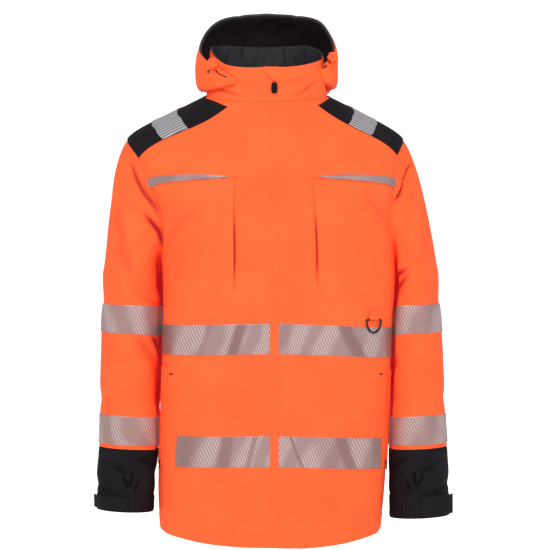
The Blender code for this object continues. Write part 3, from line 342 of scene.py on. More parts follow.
def from_edges(points, sides):
    """How far each point of a grid is, over the cloth, from the nearest of the named sides."""
    nearest = np.full(points.shape[:2], 1.0)
    for side in sides.split():
        axis = 0 if side in ("bottom", "top") else 1
        steps = np.linalg.norm(np.diff(points, axis=axis), axis=-1)
        run = np.concatenate([np.zeros_like(np.take(steps, [0], axis)), np.cumsum(steps, axis)], axis)
        if side in ("top", "last"):
            run = np.take(run, [-1], axis) - run
        nearest = np.minimum(nearest, run)
    return nearest


def inside_out(corners):
    """Whether faces, given by their four corners, point into the wall that they close."""
    return sum(
        np.einsum("ij,ij->i", corners[:, 0], np.cross(corners[:, k], corners[:, k + 1])).sum() for k in (1, 2)
    ) < 0


def shell(name, inner, outer, across, along, finish, inside=None, ring=False, form=()):
    """A closed cloth wall between two grids of points; across and along are its cut in metres, and
    form, where it is given, is each point's way round the whole garment and its height."""
    rows, columns = inner.shape[:2]
    count = rows * columns
    index = np.arange(count).reshape(rows, columns)
    maps = [np.broadcast_to(values, (rows, columns)) for values in (across, along, *form)]
    if ring:
        index = np.concatenate([index, index[:, :1]], axis=1)
        last = [2 * m[:, -1:] - m[:, -2:-1] if i % 2 == 0 else m[:, :1] for i, m in enumerate(maps)]
        maps = [np.concatenate(pair, axis=1) for pair in zip(maps, last)]
    place = np.arange(index.size).reshape(index.shape)
    quads = np.stack([place[:-1, :-1], place[:-1, 1:], place[1:, 1:], place[1:, :-1]], -1).reshape(-1, 4)
    rims = [place[0], place[-1][::-1]] + ([] if ring else [place[:, -1], place[:, 0][::-1]])
    rims = [np.stack([rim[1:], rim[:-1], rim[:-1], rim[1:]], 1) for rim in rims]
    corners = np.concatenate([quads, quads[:, ::-1], *rims])
    layer = np.zeros(corners.shape, int)
    layer[len(quads):2 * len(quads)] = count
    layer[2 * len(quads):, 2:] = count
    faces = index.ravel()[corners] + layer
    points = np.concatenate([inner.reshape(-1, 3), outer.reshape(-1, 3)])
    if inside_out(points[faces]):
        faces, corners = faces[:, ::-1], corners[:, ::-1]
    mesh = bpy.data.meshes.new(name)
    mesh.from_pydata(points.tolist(), [], faces.tolist())
    for i, title in enumerate(("cut", "form")[:len(maps) // 2]):
        flat = np.stack([values.ravel()[corners].ravel() for values in maps[2 * i:2 * i + 2]], -1)
        mesh.uv_layers.new(name=title).data.foreach_set("uv", flat.ravel())
    mesh.materials.append(finish)
    if inside is not None:
        mesh.materials.append(inside)
        which = np.zeros(len(faces), int)
        which[:len(quads)] = 1
        mesh.polygons.foreach_set("material_index", which)
    mesh.shade_smooth()
    mesh.set_sharp_from_angle(angle=math.radians(50))
    return add_object(name, mesh)


def seam_dip(base, sides, share=1.0):
    """How a cloth sinks, as a negative height, where its named sides are sewn into a seam."""
    return -share * SEAM_DIP * near(from_edges(base, sides), SEAM_DIP_WIDTH)


def belongs(piece, node, flat=None, base=None, ring=False, ride="garment"):
    """Hides the solid that a piece stands for, where one is named, and hangs the piece on its moving body.
    The flat size, the grid of points and ring are not used. The area that shows is measured on the grid of
    points it was laid over, where that is given, and is no more than most."""
    if flat and base is not None:
        if ring:
            base = np.concatenate([base, base[:, :1]], axis=1)
    if node:
        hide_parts(node)
    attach(piece, ride)


def step(tree, operation, *values):
    """One sum in a node tree, of numbers and sockets."""
    made = add(tree, "Math", operation=operation)
    for socket, value in zip(made.inputs, values):
        put(tree, socket, value)
    return made.outputs[0]


def new_group(name, inputs, outputs):
    """A shader group with named values in and out: its tree, its inputs' sockets and its outputs'."""
    group = bpy.data.node_groups.new(name, "ShaderNodeTree")
    for title, value in inputs.items():
        group.interface.new_socket(title, in_out="INPUT", socket_type="NodeSocketFloat").default_value = value
    for title in outputs:
        group.interface.new_socket(title, in_out="OUTPUT", socket_type="NodeSocketFloat")
    return group, add(group, "NodeGroupInput").outputs, add(group, "NodeGroupOutput").inputs


def uv_of(group, uv_map):
    """The two values of a UV map, across and along."""
    place = add(group, "SeparateXYZ", Vector=add(group, "UVMap", uv_map=uv_map).outputs["UV"])
    return place.outputs["X"], place.outputs["Y"]


def use_group(tree, group, values=()):
    """A group in a material's tree, with its inputs in their order."""
    made = add(tree, "Group", node_tree=group)
    for socket, value in zip(made.inputs, values):
        put(tree, socket, value)
    return made.outputs


def bumped(tree, shader, height, strength, distance, under=None):
    """Gives a shader the relief of a height, laid on a coarser relief if there is one."""
    bump = add(tree, "Bump", Strength=strength, Distance=distance, Height=height)
    if under:
        put(tree, bump.inputs["Normal"], under)
    put(tree, shader.inputs["Normal"], bump.outputs["Normal"])


def weave_group():
    """Plain weave: threads crossing over and under, as a height from 0 to 1, and a soft blotchy mask."""
    scales = {"Thread Scale": 450.0, "Blotch Scale": 14.0}
    group, given, result = new_group("plain weave", scales, ("Weave", "Blotches"))
    cut = add(group, "UVMap", uv_map="cut").outputs["UV"]
    waves = [
        add(group, "TexWave", wave_type="BANDS", bands_direction=direction, wave_profile="SIN",
            Distortion=0.0, Vector=cut, Scale=given["Thread Scale"]).outputs["Fac"]
        for direction in "XY"
    ]
    place = add(group, "TexCoord").outputs["Object"]
    blotch = add(group, "TexNoise", Detail=3.0, Vector=place, Scale=given["Blotch Scale"])
    put(group, result["Weave"], step(group, "MULTIPLY", *waves))
    put(group, result["Blotches"], blotch.outputs["Fac"])
    return group


def dark_fold_group():
    """The shade in one leaning fold, from 0 to its strength: each side of its line has its own width."""
    names = ("Around", "Level", "Cosine", "Sine", "Half Length", "Low Width", "High Width", "Strength")
    group, given, result = new_group("dark fold", dict.fromkeys(names, 0.0), ("Shade",))
    around, level = uv_of(group, "form")
    side = step(group, "SUBTRACT", around, given["Around"])
    rise = step(group, "SUBTRACT", level, given["Level"])
    across = step(group, "MULTIPLY_ADD", side, given["Cosine"], step(group, "MULTIPLY", rise, given["Sine"]))
    climb, slip = step(group, "MULTIPLY", rise, given["Cosine"]), step(group, "MULTIPLY", side, given["Sine"])
    along = step(group, "ABSOLUTE", step(group, "SUBTRACT", climb, slip))
    high = step(group, "DIVIDE", across, given["High Width"])
    low = step(group, "MULTIPLY", step(group, "DIVIDE", across, given["Low Width"]), -1.0)
    beside = ramp(group, step(group, "MAXIMUM", high, low), 1.0, 0.0, kind="SMOOTHSTEP")
    beyond = ramp(group, step(group, "DIVIDE", along, given["Half Length"]), 1.15, 0.35, kind="SMOOTHSTEP")
    shade = step(group, "MULTIPLY", step(group, "MULTIPLY", beside, beyond), given["Strength"])
    put(group, result["Shade"], shade)
    return group


WEAVE, DARK_FOLD = weave_group(), dark_fold_group()


def dark_folds(creases, radius, least=0.0022, full=0.0058):
    """The shade in the deeper creases of a table, as the dark fold's inputs."""
    folds = []
    for around, z, tilt, half_length, width, depth, *lean in zip(*creases.values()):
        lean = lean[0] if lean else 1.0
        strength = min(max((-depth - least) / (full - least), 0.0), 1.0) * min(1.0, (0.012 / width) ** 2)
        low, high = (1 / abs(lean), 1.0) if lean < 0 else (1.0, 1 / lean)
        if strength > 0.04:
            tilt = math.radians(tilt)
            folds.append((math.radians(around) * radius, z, math.cos(tilt), math.sin(tilt), half_length,
                          1.25 * width * low, 1.25 * width * high, strength))
    return folds


def woven(name, light, dark, roughness, thread_scale, depth, wrinkle=0.0, painted_glow=None, gloss=0.5, folds=(),
          deep=(0.20, 0.001, 0.006)):
    """Woven cloth: two close tones in soft blotches, a fine weave, fine wrinkles, painted shade in its folds,
    and a painted glow where one is given.
    """
    material, tree, shader = new_material(name, Specular_IOR_Level=gloss)
    weave = use_group(tree, WEAVE, (thread_scale,))
    spread = ramp(tree, weave["Blotches"], 0.35, 0.65)
    tone = add(tree, "MixRGB", Fac=spread, Color1=dark, Color2=light).outputs["Color"]
    shades = [use_group(tree, DARK_FOLD, values)["Shade"] for values in folds]
    while len(shades) > 1:
        shades[:2] = [step(tree, "MAXIMUM", *shades[:2])]
    if shades:
        tone = add(tree, "MixRGB", Fac=shades[0], Color1=tone, Color2=deep).outputs["Color"]
    put(tree, shader.inputs["Base Color"], tone)
    rough = ramp(tree, weave["Weave"], 0.0, 1.0, roughness + 0.06, roughness - 0.06)
    put(tree, shader.inputs["Roughness"], rough)
    soft = None
    if wrinkle:
        place = add(tree, "TexCoord").outputs["Object"]
        noise = add(tree, "TexNoise", Vector=place, Scale=38.0, Detail=4.0, Distortion=0.8)
        soft = add(tree, "Bump", Strength=0.5, Distance=wrinkle, Height=noise.outputs["Fac"])
        soft = soft.outputs["Normal"]
    bumped(tree, shader, weave["Weave"], 0.35, depth, soft)
    if painted_glow:
        put(tree, shader.inputs["Emission Color"], painted_glow)
        put(tree, shader.inputs["Emission Strength"], 1.0)
    return material


def shell_cloth(name, folds=()):
    """The orange shell, with a constant red painted glow that stands in for its fluorescent dye and keeps its
    shade red where little light falls.
    """
    return woven(name, (0.88, 0.140, 0.029), (0.84, 0.122, 0.025), 0.7, 450.0, 0.00012, 0.0007,
                 painted_glow=(0.24, 0.003, 0.005), gloss=0.22, folds=folds)


ORANGE = shell_cloth("orange shell cloth")
LINING = woven("dark smooth lining", (0.026, 0.024, 0.028), (0.018, 0.017, 0.020), 0.6, 700.0, 0.00008,
               0.0008, gloss=0.3)

RIGHT_COLUMNS = np.array([3.0, 0.1, -9.0, -18.0, -26.6, -36.0, -45.0, -52.5, -60.0, -70.0, -80.0, -90.0])
LEFT_COLUMNS = np.array([3.0, 5.9, 14.0, 22.0, 30.0, 39.5, 48.6, 58.5, 68.0, 75.0, 82.5, 90.0])
BACK_COLUMNS = np.linspace(90.0, 270.0, 17)
YOKE_SHARES = np.array([0.0, 0.11, 0.22, 0.33, 0.43, 0.53, 0.64, 0.76, 0.88, 1.0])
PATCH_SHARES = np.array([0.0, 0.206, 0.32, 0.443, 0.50, 0.565, 0.633, 0.76, 0.88, 1.0])
SHOULDER_SHARES = {
    "right": np.array([0.0, 0.050, 0.150, 0.247, 0.330, 0.420, 0.506, 0.680, 0.840, 1.0]),
    "left": np.array([0.0, 0.085, 0.145, 0.205, 0.290, 0.375, 0.460, 0.650, 0.820, 1.0]),
}
LOWER_ROWS = np.array([HEM_Z, -0.700, *WAIST_TAPE, -0.514, *CHEST_TAPE, POCKET_BOTTOM_Z, -0.330])
WAIST_ROW, CHEST_ROW, POCKET_ROW = 2, 5, 7
TAPE_START, POCKET_MOUTH, POCKET_BACK, WAIST_TAPE_END, HAND_POCKET = 1, 4, 6, 8, 9
ARMPIT_STEPS, YOKE_STEPS, PATCH_STEPS, PLACKET_STEPS = 5, 4, 3, 2
TAPER = table("share rise", """
      0  .045
    .22  .014
    .33  .002
    .53 .0065
    .76  .011
    .88 .0132
""")
LOWER_STATIONS = np.linspace(180.0, YOKE_STATION, ARMPIT_STEPS + 1)
YOKE_STATIONS = np.concatenate([
    [YOKE_STATION],
    np.linspace(TAPER_STATION, PATCH_STATION, YOKE_STEPS),
    np.linspace(PATCH_STATION, 0.0, PATCH_STEPS + 1)[1:],
])


def armhole(station, back=False):
    """Degrees round the body from its side, and height, at a station (0 top, 180 armpit)."""
    turn = np.radians(station)
    bulge = ARMHOLE_BACK if back else ARMHOLE_FRONT
    return bulge * np.sin(turn) ** 0.9, ARMHOLE_Z + ARMHOLE_HALF_HEIGHT * np.cos(turn)


def hang(around, z):
    """A level line's height as the cloth hangs: the hem dips front and back, tapes at the sides."""
    turn = np.radians(around)
    hem = unit((-0.64 - z) / (-0.64 - HEM_Z))
    low = unit((-0.34 - z) / 0.05) * unit((z + 0.70) / 0.05)
    dip = HEM_DIP * (np.cos(2 * turn) + 0.45 * np.sin(2 * turn) ** 2 + 0.25 * unit(np.sin(2 * turn)))
    return z - hem * dip - low * np.sin(turn) ** 2 * (0.006 + 0.003 * np.sin(turn))


def lower_grid(columns, back=False):
    """Around and height of each point of a panel from the hem to the yoke seam."""
    heights = np.concatenate([LOWER_ROWS, np.linspace(-0.300, YOKE_Z, ARMPIT_STEPS + 1)])
    around = np.tile(columns, (len(heights), 1))
    z = hang(around, heights[:, None])
    side_in, side_z = armhole(LOWER_STATIONS, back)
    half = columns - 180.0 if back else columns
    for i in range(ARMPIT_STEPS + 1):
        row = len(LOWER_ROWS) + i
        if back:
            share = unit((np.abs(half) - 30.0) / 60.0)
            around[row] = 180.0 + half * (1 - side_in[i] / 90.0 * share)
        else:
            share = unit((np.abs(columns) - SQUEEZE_FROM) / (90.0 - SQUEEZE_FROM))
            around[row] = columns - np.sign(columns[-1]) * side_in[i] * share
        share = unit((np.abs(half) - 35.0) / 55.0)
        z[row] += (side_z[i] - z[row]) * share**1.5
    return around, z


def straight_zip(grid):
    """A front's grid turned a little at each height, so that its centre edge is upright."""
    around, z = grid
    aim = np.degrees(np.arctan((ZIP_X - read(BODY, "shift", z)) / read(BODY, "front", z)))
    return around + (aim - CENTRE_FRONT) * unit(1 - np.abs(around) / 60.0), z


def neckline(around):
    """The height of the neck seam."""
    return NECK_MEAN_Z - NECK_RISE * np.cos(np.radians(around))


def yoke_from(start, end, back=False):
    """A yoke, from the lower panel's top edge to the shoulder seam, between neckline and armhole."""
    around, z = lower_grid(start + YOKE_SHARES * (end - start), back)
    around, z = around[-1], z[-1]
    edge = np.sign(around[-1] - around[0]) if back else np.sign(around[-1])
    shoulder = 180.0 + 90.0 * edge if back else 90.0 * edge
    rows = YOKE_STEPS + PATCH_STEPS + 1
    t = np.linspace(0, 1, rows)
    s = (around - start) / (around[-1] - start)
    side_in, side_z = armhole(YOKE_STATIONS, back)
    right = np.stack([shoulder - edge * side_in, side_z], -1)
    neck = np.concatenate([np.full(PLACKET_STEPS, start), np.linspace(start, shoulder, rows - PLACKET_STEPS)])
    left = np.stack([neck, neckline(neck)], -1)
    left[:PLACKET_STEPS + 1, 1] = np.linspace(z[0], neckline(start), PLACKET_STEPS + 1)
    bottom = np.stack([around, z], -1)
    top = np.stack([np.full(len(s), shoulder), left[-1, 1] + s * (side_z[-1] - left[-1, 1])], -1)
    s, t = s[None, :, None], t[:, None, None]
    corners = (1 - s) * (1 - t) * bottom[0] + s * (1 - t) * bottom[-1]
    corners = corners + (1 - s) * t * top[0] + s * t * top[-1]
    grid = (1 - t) * bottom + t * top + (1 - s) * left[:, None] + s * right[:, None] - corners
    rise = np.interp(s[0, :-1, 0], TAPER["share"], TAPER["rise"])
    share = rise / (grid[1, :-1, 1] - grid[0, :-1, 1])
    grid[1, :-1] = grid[0, :-1] + share[:, None] * (grid[1, :-1] - grid[0, :-1])
    own = SHOULDER_SHARES["right" if (edge < 0) != back else "left"]
    for row in range(2, rows):
        low = unit(row / YOKE_STEPS)
        high = unit((row - YOKE_STEPS) / PATCH_STEPS)
        at = YOKE_SHARES + (PATCH_SHARES - YOKE_SHARES) * low + (own - PATCH_SHARES) * high
        grid[row] = np.stack([np.interp(at, YOKE_SHARES, grid[row, :, axis]) for axis in (0, 1)], -1)
    return grid[..., 0], grid[..., 1]


PANELS = {
    "front_right": straight_zip(lower_grid(RIGHT_COLUMNS)),
    "front_left": straight_zip(lower_grid(LEFT_COLUMNS)),
    "back": lower_grid(BACK_COLUMNS, back=True),
    "yoke_front_right": straight_zip(yoke_from(CENTRE_FRONT, -90.0)),
    "yoke_front_left": straight_zip(yoke_from(CENTRE_FRONT, 90.0)),
    "yoke_back_right": yoke_from(180.0, 270.0, back=True),
    "yoke_back_left": yoke_from(180.0, 90.0, back=True),
}
PANEL_CUTS = {"front": (0.33, 0.63), "back": (0.56, 0.63), "yoke": (0.27, 0.26)}
SEAM_DIP, SEAM_DIP_WIDTH = 0.0011, 0.0028
ARMHOLE_TUCK, ARMHOLE_TUCK_WIDTH = 0.0032, 0.0065
HEM_FOLD, HEM_THICKER = 0.024, 0.0006
# The shade behind each chest pocket's mouth (level and half length), and that at the body's sides.
MOUTH_SHADE = {"right": (-0.266, 0.062), "left": (-0.264, 0.060)}
MOUTH_SHADE_WIDTH, MOUTH_STRENGTH = 0.0034, 0.9
SIDE_SHADE_TURNS, SIDE_SHADE = (-92.0, 92.0, 268.0), (-0.42, 1.0, 0.0, 0.26, 0.030, 0.030, 0.85)


def body_finish(name, grid):
    """A panel's own shell cloth: shade in the creases that cross it, and under the pocket's mouth."""
    behind = name.startswith(("back", "yoke_back"))
    turns = BODY_CREASES["around"] % 360.0 if behind else BODY_CREASES["around"]
    folds = dark_folds({**BODY_CREASES, "around": turns}, FORM_RADIUS, 0.0024, 0.0085)
    folds += [(math.radians(turn) * FORM_RADIUS, *SIDE_SHADE) for turn in SIDE_SHADE_TURNS]
    if name in ("front_right", "front_left"):
        z, half_length = MOUTH_SHADE[name[6:]]
        around, level = (values[:, POCKET_MOUTH] for values in grid)
        here, above = np.interp([z, z + 0.05], level, around)
        tilt = math.atan(-math.radians(above - here) * FORM_RADIUS / 0.05)
        turn = math.radians(here) * FORM_RADIUS + 0.0016 * (1 if here < 0 else -1)
        folds.append((turn, z, math.cos(tilt), math.sin(tilt), half_length, MOUTH_SHADE_WIDTH,
                      MOUTH_SHADE_WIDTH, MOUTH_STRENGTH))
    return shell_cloth("shell cloth " + name, folds)


for name, grid in PANELS.items():
    yoke = name.startswith("yoke")
    around, z = finer(body, grid)
    base = body(around, z)
    dip = seam_dip(base, "bottom first last" if yoke else "top first last")
    if name != "back":
        low = unit((z + 0.305) / 0.02) * unit((-0.125 - z) / 0.05)
        dip = dip - ARMHOLE_TUCK * low * near(from_edges(base, "last"), ARMHOLE_TUCK_WIDTH)
    if not yoke:
        dip = dip + HEM_THICKER * unit((HEM_FOLD - from_edges(base, "bottom")) / 0.0015)
    inner, outer = lift(body, around, z, dip), lift(body, around, z, dip + WALL)
    cloth = shell("cloth_" + name, inner, outer, np.radians(around) * CUT_RADIUS, z, body_finish(name, grid),
                  LINING, form=(np.radians(around) * FORM_RADIUS, z))
    belongs(cloth, name, PANEL_CUTS[name.split("_")[0]], base=base)


# ---------------------------------------------------------------- chest pockets and hand pocket strips
# Cut from the shell cloth. A chest pocket is sewn down at the yoke, along its back edge and foot,
# and its upright mouth stands open a little. The strip frames the hand pocket's zip.

ON_PANEL = WALL + 0.0005
POCKET_WALL, STRIP_WALL, POCKET_CORNER = 0.0014, 0.0012, 0.034
HAND_POCKET_DROP = 0.032
POCKET_GAPE = table("z gape", """
    -.365     0
     -.33  .001
     -.29  .006
     -.24 .0055
     -.19  .002
    -.149     0
""")


def part_of(name, rows, columns):
    """A block of a panel's grid."""
    return tuple(values[rows, columns] for values in PANELS[name])


def chest_pocket(side):
    """The block of a front that its chest pocket covers."""
    return part_of("front_" + side, slice(POCKET_ROW, None), slice(POCKET_MOUTH, POCKET_BACK + 1))


def hand_pocket(side):
    """The block of a front where its hand pocket's strip lies."""
    return part_of("front_" + side, slice(WAIST_ROW, CHEST_ROW + 1), slice(HAND_POCKET, HAND_POCKET + 2))


def drawn_in(points, sides, amount):
    """A grid of points whose named sides are pulled in."""
    moved = points.copy()
    for side, edge, inner in (
        ("bottom", np.s_[0], np.s_[1]),
        ("top", np.s_[-1], np.s_[-2]),
        ("first", np.s_[:, 0], np.s_[:, 1]),
        ("last", np.s_[:, -1], np.s_[:, -2]),
    ):
        if side in sides:
            way = points[inner] - points[edge]
            moved[edge] += amount * way / np.linalg.norm(way, axis=-1, keepdims=True)
    return moved


def rounded_over(base, thickness, sides="bottom top first last", over=0.0016):
    """How much lower a layer's outer face lies as it rolls over at its cut or folded edges."""
    edge = unit(from_edges(base, sides) / over)
    return 0.55 * thickness * (1 - edge) ** 2


for side in ("right", "left"):
    around, z = finer(body, chest_pocket(side), 0.0045)
    base = body(around, z)
    from_mouth = from_edges(base, "first")
    share = np.clip(from_mouth / from_mouth[:, -1:] * 2, 0, 2)
    gape = read(POCKET_GAPE, "gape", z[:, :1]) * np.interp(share, [0, 1, 2], [1.0, 0.35, 0.0])
    sunk = unit(from_edges(base, "last") / 0.026)
    foot = unit(from_edges(base, "bottom") / 0.010) + unit(1 - from_mouth / 0.030)
    flush = ON_PANEL * (1 - (sunk * np.minimum(foot, 1)) ** 0.8)
    inner = lift(body, around, z, ON_PANEL + gape - flush)
    roll = rounded_over(base, POCKET_WALL)
    outer = lift(body, around, z, ON_PANEL + gape - flush * 1.35 + POCKET_WALL - roll)
    corner = unit(1 - from_edges(base, "bottom") / POCKET_CORNER)
    corner = corner * unit(1 - from_mouth / POCKET_CORNER)
    for points in (inner, outer):
        cut_off = 0.45 * (points[:1, -1:] - points[:1, :1]) / 2 + np.array((0.0, 0.0, 0.005))
        points += corner[..., None] * cut_off
    facing = shell("chest_pocket_" + side, drawn_in(inner, "top", 0.0002), drawn_in(outer, "top", 0.0002),
                   np.radians(around) * CUT_RADIUS, z, ORANGE)
    belongs(facing, "pocket_chest_" + side, (0.085, 0.225), base)

    around, z = finer(body, hand_pocket(side))
    base = body(around, z)
    inner = lift(body, around, z, np.full(z.shape, ON_PANEL))
    outer = lift(body, around, z, ON_PANEL + STRIP_WALL - rounded_over(base, STRIP_WALL))
    short = unit((z - z[-1:]) / 0.02 + 1)[..., None] * np.array((0.0, 0.0, -HAND_POCKET_DROP))
    strip = shell("pocket_strip_" + side, inner + short, outer + short, np.radians(around) * CUT_RADIUS, z,
                  ORANGE)
    belongs(strip, "pocket_side_" + side, (0.036, 0.17), base)


# ---------------------------------------------------------------- reflective tape on the body
# Silver-grey tape 50 mm wide, faced with glass beads printed in fine slanting lines, sewn on
# flat along both edges: one ring at the waist, one at the chest, and a tapered slip at each yoke.

TAPE_WALL = 0.0010


def tape_group():
    """Fine slanting lines, and broad soft zones of painted gleam where the beads face another way, each from
    0 to 1.
    """
    given = {"Zone Lean": -0.5, "Line Pitch": 0.0056, "Line Lean": 0.55, "Zone Pitch": 0.070}
    group, given, result = new_group("slanted beads", given, ("Lines", "Zones"))
    across, along = uv_of(group, "cut")
    noise = add(group, "TexNoise", Scale=9.0, Vector=add(group, "TexCoord").outputs["Object"])
    wander = step(group, "MULTIPLY", noise.outputs["Fac"], 0.09)
    for kind in ("Line", "Zone"):
        place = step(group, "ADD", across, step(group, "MULTIPLY", along, given[kind + " Lean"]))
        if kind == "Zone":
            place = step(group, "ADD", place, wander)
        turns = step(group, "DIVIDE", place, given[kind + " Pitch"])
        wave = step(group, "SINE", step(group, "MULTIPLY", turns, 2 * math.pi))
        put(group, result[kind + "s"], step(group, "ADD", step(group, "MULTIPLY", wave, 0.5), 0.5))
    return group


def dull_stripe_group():
    """One soft leaning stripe where the tape is turned from the light, from 0 to its strength."""
    names = ("Place", "Level", "Lean", "Half Width", "Strength")
    group, given, result = new_group("dull stripe", dict.fromkeys(names, 0.0), ("Dull",))
    across, along = uv_of(group, "cut")
    rise = step(group, "SUBTRACT", along, given["Level"])
    side = step(group, "SUBTRACT", across, given["Place"])
    off = step(group, "ABSOLUTE", step(group, "MULTIPLY_ADD", rise, given["Lean"], side))
    share = step(group, "DIVIDE", off, given["Half Width"])
    put(group, result["Dull"], ramp(group, share, 1.0, 0.35, high=given["Strength"], kind="SMOOTHSTEP"))
    return group


BEADS, DULL_STRIPE = tape_group(), dull_stripe_group()


def beaded(name, light, dim, zone_lean=-0.5, dull=()):
    """Reflective tape: a grey ground, fine lighter lines, and painted shade where they fade: in broad gleam
    zones and in any dull stripes it is given.
    """
    material, tree, shader = new_material(name, Roughness=0.38, Metallic=0.15)
    beads = use_group(tree, BEADS, (zone_lean,))
    lefts = [step(tree, "SUBTRACT", 1.0, use_group(tree, DULL_STRIPE, values)["Dull"]) for values in dull]
    while len(lefts) > 1:
        lefts[:2] = [step(tree, "MULTIPLY", *lefts[:2])]
    bright = lefts[0] if lefts else beads["Zones"]
    ground = add(tree, "MixRGB", Fac=bright, Color1=dim, Color2=GROUND).outputs["Color"]
    line, zone = ramp(tree, beads["Lines"], 0.55, 0.9), ramp(tree, beads["Zones"], 0.15, 0.65)
    shown = step(tree, "MULTIPLY", step(tree, "MULTIPLY", line, bright), zone)
    face = add(tree, "MixRGB", Fac=shown, Color1=ground, Color2=light)
    put(tree, shader.inputs["Base Color"], face.outputs["Color"])
    bumped(tree, shader, beads["Lines"], 0.3, 0.0001)
    return material


# GROUND and LINES are the tape's own grey and lines; DIM is the ground in painted shade between the gleam
# zones, and DULL the ground in the painted dull stripes.
GROUND, LINES = (0.355, 0.232, 0.222), (0.66, 0.50, 0.48)
DIM, DULL = (0.36, 0.22, 0.21), (0.265, 0.145, 0.138)
SLIP_TAPE = beaded("reflective tape of the slips", (0.40, 0.27, 0.26), (0.31, 0.185, 0.18))
TAPE = beaded("reflective tape", LINES, DIM)
TAPE_OTHER = beaded("reflective tape, other lean", LINES, DIM, zone_lean=0.5)
# Painted dull stripes where each front band bends over a crease, away from the light: place, level, lean,
# half width, strength.
BEND_STRIPES = {
    "chest_right": (
        (-0.0857, -0.421, -0.34, 0.017, 1.0),
        (-0.1445, -0.421, -0.34, 0.007, 0.5),
        (-0.232, -0.421, 0.0, 0.040, 1.0),
    ),
    "chest_left": (
        (0.1495, -0.4255, 0.54, 0.018, 1.0),
        (0.236, -0.42, 0.0, 0.026, 0.9),
        (0.015, -0.42, 0.0, 0.018, 0.35),
    ),
    "waist_right": (
        (-0.1000, -0.612, -0.16, 0.018, 0.9),
        (-0.0487, -0.616, -0.25, 0.008, 0.7),
        (-0.190, -0.612, -0.1, 0.055, 0.85),
    ),
    "waist_left": (
        (0.1430, -0.612, 0.42, 0.015, 1.0),
        (0.115, -0.612, 0.42, 0.034, 0.45),
        (0.0510, -0.612, 0.53, 0.006, 0.8),
        (0.205, -0.612, 0.0, 0.020, 0.6),
    ),
}
BAND_TAPES = {
    band: beaded(band.replace("_", " tape "), LINES, DULL, dull=stripes)
    for band, stripes in BEND_STRIPES.items()
}
# Each ring's row of the panels' grid, the last column of its front band, and that band's length.
RINGS = {"waist": (WAIST_ROW, WAIST_TAPE_END, 0.205), "chest": (CHEST_ROW, None, 0.30)}
TIP_COLUMN, SLIP_TIP_UP, SLIP_END_DOWN = 3, 0.8, 0.004


def laid_on(name, coarse, height, thickness, finish, node, flat, sides="", down_rows=False):
    """A piece laid flat on the cloth under it, its edges rolled over; its threads may run down its rows."""
    around, z = finer(body, coarse, 0.0045)
    base = body(around, z)
    inner = drawn_in(lift(body, around, z, np.full(z.shape, height)), sides, 0.0003)
    outer = drawn_in(lift(body, around, z, height + thickness - rounded_over(base, thickness)), sides, 0.0003)
    across, along = np.radians(around) * CUT_RADIUS, z
    if down_rows:
        steps = (np.linalg.norm(np.diff(base, axis=axis), axis=-1).mean(axis=1 - axis) for axis in (0, 1))
        down_it, over_it = (np.concatenate([[0.0], np.cumsum(mean)]) for mean in steps)
        across, along = down_it[:, None] + 0 * z, over_it[None] + 0 * z
    belongs(shell(name, inner, outer, across, along, finish), node, flat, base)


def ring_strip(ring, panel):
    """The block of a panel's grid that one ring of tape covers."""
    row, end = RINGS[ring][:2]
    columns = slice(None) if panel == "back" else slice(TAPE_START, None if end is None else end + 1)
    return part_of(panel, slice(row, row + 2), columns)


for side in ("right", "left"):
    for ring, (_, end, length) in RINGS.items():
        laid_on(f"band_{ring}_{side}", ring_strip(ring, "front_" + side), ON_PANEL, TAPE_WALL,
                BAND_TAPES[f"{ring}_{side}"], f"tape_{ring}_{side}", (length, 0.052),
                "last" if end is None else "")
for ring in RINGS:
    laid_on(f"band_{ring}_back", ring_strip(ring, "back"), ON_PANEL, TAPE_WALL, TAPE, f"tape_{ring}_back",
            (0.54, 0.052), "first last")
for side in ("right", "left"):
    for name in (f"yoke_front_{side}", f"yoke_back_{side}"):
        strip = [values.copy() for values in part_of(name, slice(0, 2), slice(TIP_COLUMN, None))]
        for values in strip:
            values[:, 0] += 0.35 * (values[:, 1] - values[:, 0])
        strip[1][0, 0] += SLIP_TIP_UP * (strip[1][1, 0] - strip[1][0, 0])
        strip[1][:, -1] -= SLIP_END_DOWN
        laid_on(name.replace("yoke", "slip"), strip, ON_PANEL, TAPE_WALL, SLIP_TAPE, "tape_" + name,
                (0.19, 0.015), "bottom last")


# ---------------------------------------------------------------- shoulder patches
# A tough black woven patch over each shoulder seam, with a short segment of grey reflective
# cloth laid on it from front to back. Both are sewn down all round.

PATCH_WALL, SEAM_GAP = 0.0012, 0.0003
PATCH_START, INSERT_COLUMNS = 1, slice(3, 7)
ON_PATCH = ON_PANEL + PATCH_WALL + SEAM_GAP
TOUGH_LIGHT, TOUGH_DARK = (0.0120, 0.0100, 0.0125), (0.0080, 0.0064, 0.0085)
BLACK = woven("black tough cloth", TOUGH_LIGHT, TOUGH_DARK, 0.8, 330.0, 0.0002, 0.0008, gloss=0.12)
STRIPE_LIGHT, STRIPE_DARK, STRIPE_PITCH = (0.42, 0.41, 0.43), (0.070, 0.064, 0.080), 0.0076
SHOULDER_SLOPE, SEAM_Y, FALL_FROM_SEAM = 0.46, 0.01, 0.75


